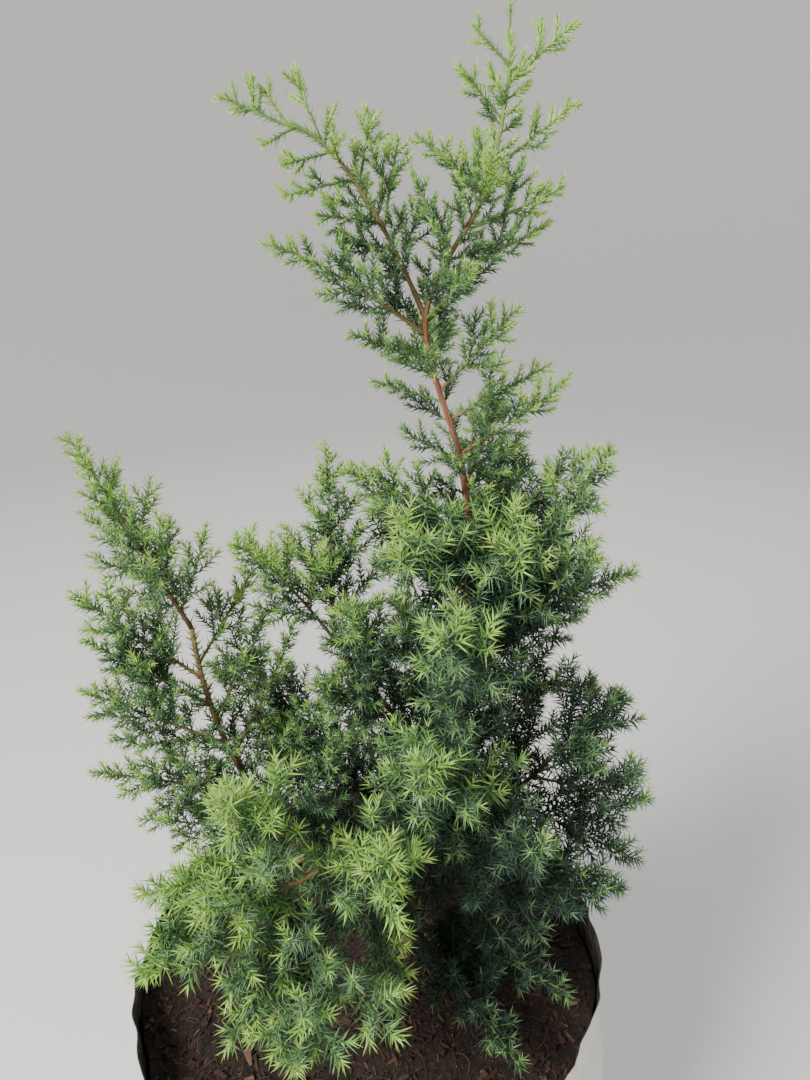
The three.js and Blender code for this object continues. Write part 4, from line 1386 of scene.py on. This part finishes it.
def of_region(region, owner):
    """Which of some shoots or needles belong to a region of the crown."""
    return (np.array(STEM_REGIONS) == region)[owner]


def make_needles(bundles, materials):
    """Every needle of the crown, in one piece for each region."""
    owner, *rest = (np.concatenate(part) for part in zip(*bundles))
    for region in REGIONS:
        mine = of_region(region, owner)
        piece = needle_mesh("needles_" + region, *(part[mine] for part in rest), materials)
        dress(piece, "foliage", *nodes_of(region))


def nodes_of(region):
    """The names of a region's masses."""
    return [name for name in MASSES if region_of(name) == region]


def wood_age(sprays):
    """Which colour each ring of each shoot has, by how far it is from the tip."""
    share = (np.arange(sprays.paths.shape[1] - 1) + 0.5) / (sprays.paths.shape[1] - 1)
    distance = sprays.lengths[:, None] * (1 - share)
    return (distance > GREEN_WOOD).astype(int) + (distance > OCHRE_WOOD)


def make_wood(kind, sprays, sides, materials):
    """The wood of one order of shoots, in one piece for each region."""
    age = wood_age(sprays)
    for region in REGIONS:
        mine = of_region(region, sprays.owner)
        piece = make_tubes(
            kind + "_" + region,
            sprays.paths[mine],
            sprays.foot[mine],
            sprays.tip[mine],
            sides,
            materials,
            age[mine],
        )
        dress(piece, "bark", *nodes_of(region))


def stem_sprays():
    """The stems themselves, as the first order of shoots."""
    owner = np.arange(len(STEMS))
    light = spray_light(owner, 0.7, 12)
    return sprays_with(STEM_WOOD, STEMS, owner, length_of(STEMS), light)


def all_shoots():
    """The side twigs with the short shoots of the trunk and boughs, and their sprigs."""
    shoots = [short_shoots(name, number + 1) for number, name in enumerate(SHOOTS)]
    long_ones = side_twigs(shift=0, turned=0, share=1, extra=0)
    short_ones = side_twigs(shift=0.5, turned=70, share=0.3, extra=5.5)
    twigs = join_sprays([long_ones, short_ones, *shoots])
    return twigs, sprigs_of(twigs, seed=5)


def leafy_limbs():
    """The young ends of the trunk and boughs, as shoots whose bark the limbs' own meshes have."""
    names = list(LEAFY_FROM)
    shares = [np.linspace(LEAFY_FROM[name][0], 1, SAMPLES + 1) for name in names]
    paths = np.array([along(LIMBS[name].clear, share) for name, share in zip(names, shares)])
    owner = np.array([STEM_NAMES.index(LEAFY_FROM[name][1]) for name in names])
    foot = [LEAFY_WOOD * LIMBS[name].radius_at(LEAFY_FROM[name][0]) for name in names]
    tip = [LEAFY_WOOD * LIMBS[name].radius_at(1) for name in names]
    return Sprays(paths, owner, foot, tip, 0, spray_light(owner, 0.6, 13))


def make_crown(woods, greens):
    """Stems, twigs, sprigs and needles. The stems' wood starts inside what carries them."""
    stems = stem_sprays()
    twigs, sprigs = all_shoots()
    rooted = stem_sprays()
    rooted.paths = WHOLE_STEMS
    make_wood("stems", rooted, sides=7, materials=woods)
    make_wood("twigs", twigs, sides=3, materials=woods)
    make_wood("sprigs", sprigs, sides=3, materials=woods)
    grid = shade_grid((twigs, sprigs))
    kinds = ((stems, 61), (twigs, 62), (sprigs, 63), (leafy_limbs(), 64))
    make_needles([needle_places(shoots, seed, grid) for shoots, seed in kinds], greens)


# Materials

def plain(name, colour, roughness):
    """A plain finish of one colour."""
    material = bpy.data.materials.new(name)
    material.use_nodes = True
    shader = material.node_tree.nodes["Principled BSDF"]
    shader.inputs["Base Color"].default_value = (*colour, 1)
    shader.inputs["Roughness"].default_value = roughness
    return material


class Nodes:
    """A node tree: each method adds a node and gives the socket that it feeds."""

    def __init__(self, tree):
        """Adds to a material's tree or to a group."""
        self.tree = tree

    def add(self, kind, inputs, **settings):
        """A node with its settings, and its inputs set or joined by name or number."""
        node = self.tree.nodes.new(kind)
        for key, value in settings.items():
            setattr(node, key, value)
        for key, value in inputs.items():
            self.feed(node.inputs[key], value)
        return node

    def feed(self, socket, value):
        """Joins a socket to another, or sets its constant."""
        if isinstance(value, bpy.types.NodeSocket):
            self.tree.links.new(value, socket)
        else:
            socket.default_value = value

    def noise(self, place, scale, detail, rough):
        """Fractal noise from 0 to 1."""
        inputs = {"Vector": place, "Scale": scale, "Detail": detail, "Roughness": rough}
        return self.add("ShaderNodeTexNoise", inputs).outputs[0]

    def ramp(self, value, low, high):
        """0 up to low and 1 from high on."""
        inputs = {"Value": value, "From Min": low, "From Max": high}
        return self.add("ShaderNodeMapRange", inputs, clamp=True).outputs[0]

    def math(self, operation, first, second):
        """One sum of two values."""
        return self.add("ShaderNodeMath", {0: first, 1: second}, operation=operation).outputs[0]


def new_group(name, takes, gives):
    """An empty effect that materials share, with a node that holds what it takes."""
    tree = bpy.data.node_groups.new(name, "ShaderNodeTree")
    for title in takes:
        kind = "NodeSocketVector" if title == "Place" else "NodeSocketFloat"
        tree.interface.new_socket(name=title, in_out="INPUT", socket_type=kind)
    for title in gives:
        tree.interface.new_socket(name=title, in_out="OUTPUT", socket_type="NodeSocketFloat")
    group = Nodes(tree)
    return group, group.add("NodeGroupInput", {}).outputs


def patches_group():
    """Soft patches or small specks: noise, and its ramp between two of its values, times an
    amount."""
    takes = ["Place", "Scale", "Detail", "Roughness", "From", "To", "Amount"]
    group, taken = new_group("patches", takes, ["Share", "Noise"])
    noise = group.noise(*(taken[title] for title in takes[:4]))
    covered = group.ramp(noise, taken["From"], taken["To"])
    share = group.math("MULTIPLY", covered, taken["Amount"])
    group.add("NodeGroupOutput", {"Share": share, "Noise": noise})
    return group.tree


def creases_group():
    """Wrinkled film: 1 along thin wandering lines, where smooth noise crosses its middle
    value, and finer noise added to that."""
    takes = ["Place", "Scale", "Width", "Fine Scale", "Fine Detail", "Fine Roughness"]
    group, taken = new_group("creases", takes, ["Height"])
    smooth = group.noise(taken["Place"], taken["Scale"], CREASE_DETAIL, CREASE_ROUGHNESS)
    middle = group.math("SUBTRACT", smooth, 0.5)
    lines = group.ramp(group.math("ABSOLUTE", middle, 0.0), taken["Width"], 0.0)
    fine = group.noise(taken["Place"], *(taken[title] for title in takes[3:]))
    group.add("NodeGroupOutput", {"Height": group.math("ADD", lines, fine)})
    return group.tree


def low_down_group():
    """More the lower down: a ramp over the height of the place, times an amount."""
    takes = ["Place", "From", "To", "Amount"]
    group, taken = new_group("low down", takes, ["Share"])
    height = group.add("ShaderNodeSeparateXYZ", {0: taken["Place"]}).outputs[2]
    covered = group.ramp(height, taken["From"], taken["To"])
    group.add("NodeGroupOutput", {"Share": group.math("MULTIPLY", covered, taken["Amount"])})
    return group.tree


EFFECTS = {"patches": patches_group(), "creases": creases_group(), "low down": low_down_group()}


class Finish(Nodes):
    """A material with a pattern, made of its own nodes and of shared effects."""

    def __init__(self, name):
        """Starts from a material with its shader and output."""
        self.material = bpy.data.materials.new(name)
        self.material.use_nodes = True
        super().__init__(self.material.node_tree)

    def stored(self, name, output="Fac"):
        """A value or vector stored on the mesh."""
        return self.add("ShaderNodeAttribute", {}, attribute_name=name).outputs[output]

    def place(self):
        """The place in the object, in metres."""
        return self.add("ShaderNodeTexCoord", {}).outputs["Object"]

    def stretched(self, place, scale):
        """A place with each of its directions scaled."""
        return self.add("ShaderNodeMapping", {"Vector": place, "Scale": scale}).outputs[0]

    def effect(self, name, **values):
        """A shared effect with its own values, whose names are given with _ for a space."""
        inputs = {key.replace("_", " "): value for key, value in values.items()}
        return self.add("ShaderNodeGroup", inputs, node_tree=EFFECTS[name]).outputs

    def patches(self, place, scale, detail, rough, low, high, amount=1.0):
        """The shared patches: the share of each place that they cover, and their noise."""
        shape = {"Place": place, "Scale": scale, "Detail": detail, "Roughness": rough}
        return self.effect("patches", **shape, From=low, To=high, Amount=amount)

    def blend(self, share, first, second):
        """From one colour to another by a share."""
        inputs = {0: share, 6: colour(first), 7: colour(second)}
        return self.add("ShaderNodeMix", inputs, data_type="RGBA").outputs[2]

    def bump(self, height, strength, distance):
        """A surface normal from a height."""
        inputs = {"Height": height, "Strength": strength, "Distance": distance}
        return self.add("ShaderNodeBump", inputs).outputs[0]

    def done(self, shown, roughness, normal):
        """Feeds the shader's own inputs."""
        inputs = self.tree.nodes["Principled BSDF"].inputs
        self.feed(inputs["Base Color"], shown)
        self.feed(inputs["Roughness"], roughness)
        self.feed(inputs["Normal"], normal)
        return self.material


def colour(value):
    """A colour's three numbers with full opacity, or a socket as it is."""
    return value if isinstance(value, bpy.types.NodeSocket) else (*value, 1)


def bark_finish():
    """Peeling bark: orange and red-brown strips with grey ones among them, painted shade darkening
    the furrows where the relief is low, ochre then green where the wood is young, and darker low
    down."""
    bark = Finish("peeling bark")
    place = bark.stored("bark_place", "Vector")
    strip_place = bark.stretched(place, (520, 520, 46))
    patch_place = bark.stretched(place, (150, 150, 22))
    grain_place = bark.stretched(place, (1900, 1900, 170))
    strips = bark.patches(strip_place, 1.0, detail=5.0, rough=0.6, low=0.38, high=0.6)
    patches = bark.patches(patch_place, 1.0, detail=3.0, rough=0.5, low=0.52, high=0.68)
    grain = bark.patches(grain_place, 1.0, detail=4.0, rough=0.6, low=0.5, high=0.7, amount=0.25)
    low_down = bark.effect("low down", Place=bark.place(), From=0.52, To=0.38, Amount=0.7)
    # Painted shade: the colour darkens where the bark's relief is low
    furrow_shade = bark.ramp(bark.stored("raised"), 0.0, -0.55)
    youth = bark.stored("youth")
    old = bark.blend(strips["Share"], RED_BARK, ORANGE_BARK)
    old = bark.blend(patches["Share"], old, GREY_BARK)
    old = bark.blend(furrow_shade, old, FURROW_PAINTED_SHADE)
    young = bark.blend(bark.ramp(patches["Noise"], 0.4, 0.6), OCHRE_BARK, BROWN_BARK)
    shown = bark.blend(bark.ramp(youth, 0.15, 0.6), old, young)
    shown = bark.blend(bark.ramp(youth, 0.72, 1.0), shown, GREEN_BARK)
    shown = bark.blend(grain["Share"], shown, PALE_GRAIN)
    # Darker towards the bottom
    shown = bark.blend(low_down["Share"], shown, DARKER_LOW_BARK)
    height = bark.math("ADD", grain["Noise"], strips["Noise"])
    return bark.done(shown, BARK_ROUGHNESS, bark.bump(height, strength=0.5, distance=0.0006))


def film_outside():
    """Milky film: warm white, a little dust in soft patches, more of it near the foot, faint
    upright streaks, dark specks, and wrinkles drawn out up and down."""
    film = Finish("milky film outside")
    place = film.place()
    upright = film.stretched(place, (60, 60, 5))
    slack = film.stretched(place, (1, 1, 0.5))
    soft_patches = film.patches(place, 14.0, detail=5.0, rough=0.6, low=0.42, high=0.7, amount=0.35)
    streaks = film.patches(upright, 1.0, detail=3.0, rough=0.5, low=0.5, high=0.75, amount=0.3)
    specks = film.patches(place, 420.0, detail=2.0, rough=0.5, low=0.66, high=0.72, amount=0.5)
    low_down = film.effect("low down", Place=place, From=0.09, To=0.0, Amount=0.3)
    soiled = film.math("ADD", soft_patches["Share"], low_down["Share"])
    shown = film.blend(soiled, MILKY_FILM, FILM_SOIL)
    shown = film.blend(streaks["Share"], shown, FILM_STREAKS)
    shown = film.blend(specks["Share"], shown, FILM_SPECKS)
    gloss = film.math("ADD", 0.3, film.math("MULTIPLY", soiled, 0.5))
    fine = {"Fine_Scale": 34.0, "Fine_Detail": 2.0, "Fine_Roughness": 0.5}
    wrinkles = film.effect("creases", Place=slack, Scale=17.0, Width=0.09, **fine)["Height"]
    return film.done(shown, gloss, film.bump(wrinkles, strength=0.4, distance=0.004))


def film_inside():
    """Black film with grey-brown soft patches, partly dust and partly a painted sheen, and specks
    of dust; duller where the patches are, and finely wrinkled."""
    film = Finish("black film inside")
    place = film.place()
    level = film.stretched(place, (1, 1, 2.2))
    soft_patches = film.patches(level, 30.0, detail=6.0, rough=0.62, low=0.4, high=0.68, amount=0.75)
    specks = film.patches(place, 520.0, detail=3.0, rough=0.5, low=0.6, high=0.68, amount=0.7)
    # The grey-brown patches are partly dust and partly a painted sheen
    shown = film.blend(soft_patches["Share"], BLACK_FILM, FILM_DUST_AND_SHEEN)
    shown = film.blend(specks["Share"], shown, DUST_SPECKS)
    gloss = film.math("ADD", 0.33, film.math("MULTIPLY", soft_patches["Share"], 0.4))
    fine = {"Fine_Scale": 90.0, "Fine_Detail": 3.0, "Fine_Roughness": 0.6}
    wrinkles = film.effect("creases", Place=place, Scale=34.0, Width=0.06, **fine)["Height"]
    return film.done(shown, gloss, film.bump(wrinkles, strength=0.4, distance=0.002))


def mix_finish():
    """Dark damp compost with lighter crumbs and patches, all of it darkened further with painted
    shade.
    """
    mix = Finish("potting mix")
    place = mix.place()
    crumbs = mix.patches(place, 330.0, detail=6.0, rough=0.65, low=0.35, high=0.72)
    dry = mix.patches(place, 45.0, detail=4.0, rough=0.6, low=0.5, high=0.7, amount=0.4)
    shown = mix.blend(crumbs["Share"], SHADED_DARK_MIX, MIX_CRUMBS)
    shown = mix.blend(dry["Share"], shown, MIX_PATCHES)
    normal = mix.bump(crumbs["Noise"], strength=0.9, distance=0.0025)
    return mix.done(shown, MIX_ROUGHNESS, normal)


def make_all():
    """Every piece of the plant and its bag."""
    bark = bark_finish()
    woods = [plain(name, *rest) for name, *rest in WOODS]
    greens = [plain(name, *rest) for name, *rest in GREENS]
    chips = [plain(name, *rest) for name, *rest in CHIPS]
    fibres = [plain(name, *rest) for name, *rest in FIBRES]
    dress(make_bag(film_outside(), film_inside()), "bag_film", "grow_bag")
    dress(make_mix(mix_finish()), "potting_mix", "potting_mix")
    dress(make_chips(chips), "potting_mix", "potting_mix")
    dress(make_fibres(fibres), "potting_mix", "potting_mix")
    make_trunk(bark)
    make_boughs(bark)
    make_crown(woods, greens)


# The studio

def make_floor():
    """A round pale floor: level, then swept up into a backdrop by a quarter turn."""
    around = 96
    level = np.array([0.4, 0.9, 1.6, FLOOR_RADIUS])
    turn = np.linspace(0, math.pi / 2, 14)[1:]
    swept = FLOOR_RADIUS + FLOOR_SWEEP * np.sin(turn)
    radius = np.concatenate([level, swept, [FLOOR_RADIUS + FLOOR_SWEEP]])
    height = np.concatenate([0 * level, FLOOR_SWEEP * (1 - np.cos(turn)), [BACKDROP_HEIGHT]])
    angle = np.arange(around) / around * 2 * math.pi
    rings = np.stack([ring_points(angle, r, h) for r, h in zip(radius, height)])
    ends = [[0, 0, 0], [0, 0, BACKDROP_HEIGHT]]
    points = np.concatenate([rings.reshape(-1, 3), ends]) / MM
    points[:, 2] -= FLOOR_CLEAR
    squares, fans = shell_faces(len(rings), around)
    pale = plain("floor", FLOOR_COLOUR, 0.9)
    put_mesh("floor", points, [squares, fans[:around]], [pale])


def add_light(name, place, size, power, tint):
    """A square soft light, aimed at the plant's middle and not seen itself."""
    light = bpy.data.lights.new(name, "AREA")
    light.size = size
    light.energy = power
    light.color = tint
    lamp = bpy.data.objects.new(name, light)
    away = unit(np.array(place) - np.array(LIGHTS_AIM))
    level, steep = frame_on(away[None])
    turn = Matrix(np.stack([level[0], steep[0], away], 1).tolist()).to_4x4()
    lamp.matrix_world = Matrix.Translation(place) @ turn
    lamp.visible_camera = False
    bpy.context.scene.collection.objects.link(lamp)


def light_studio():
    """An overcast sky with a soft key from the left and front, and a weak light behind."""
    world = bpy.data.worlds.new("studio")
    world.use_nodes = True
    background = world.node_tree.nodes["Background"]
    background.inputs["Color"].default_value = (*SKY_COLOUR, 1)
    background.inputs["Strength"].default_value = SKY_STRENGTH
    bpy.context.scene.world = world
    for name, place, size, power, tint in LIGHTS:
        add_light(name, place, size, power, tint)


def place_camera():
    """The photograph's viewpoint: close in front and above, looking down and turned a little."""
    down, roll = math.radians(CAMERA_DOWN), math.radians(CAMERA_ROLL)
    ahead = np.array([0, math.cos(down), -math.sin(down)])
    above = np.array([0, math.sin(down), math.cos(down)])
    right = np.array([1.0, 0, 0])
    side = math.cos(roll) * right + math.sin(roll) * above
    top = -math.sin(roll) * right + math.cos(roll) * above
    camera = bpy.data.objects.new("camera", bpy.data.cameras.new("camera"))
    camera.data.lens = CAMERA_LENS
    camera.data.sensor_width = 36
    camera.data.clip_start = 0.02
    turn = Matrix(np.stack([side, top, -ahead], 1).tolist()).to_4x4()
    camera.matrix_world = Matrix.Translation(CAMERA_PLACE) @ turn
    bpy.context.scene.collection.objects.link(camera)
    bpy.context.scene.camera = camera


make_all()
make_floor()
light_studio()
place_camera()
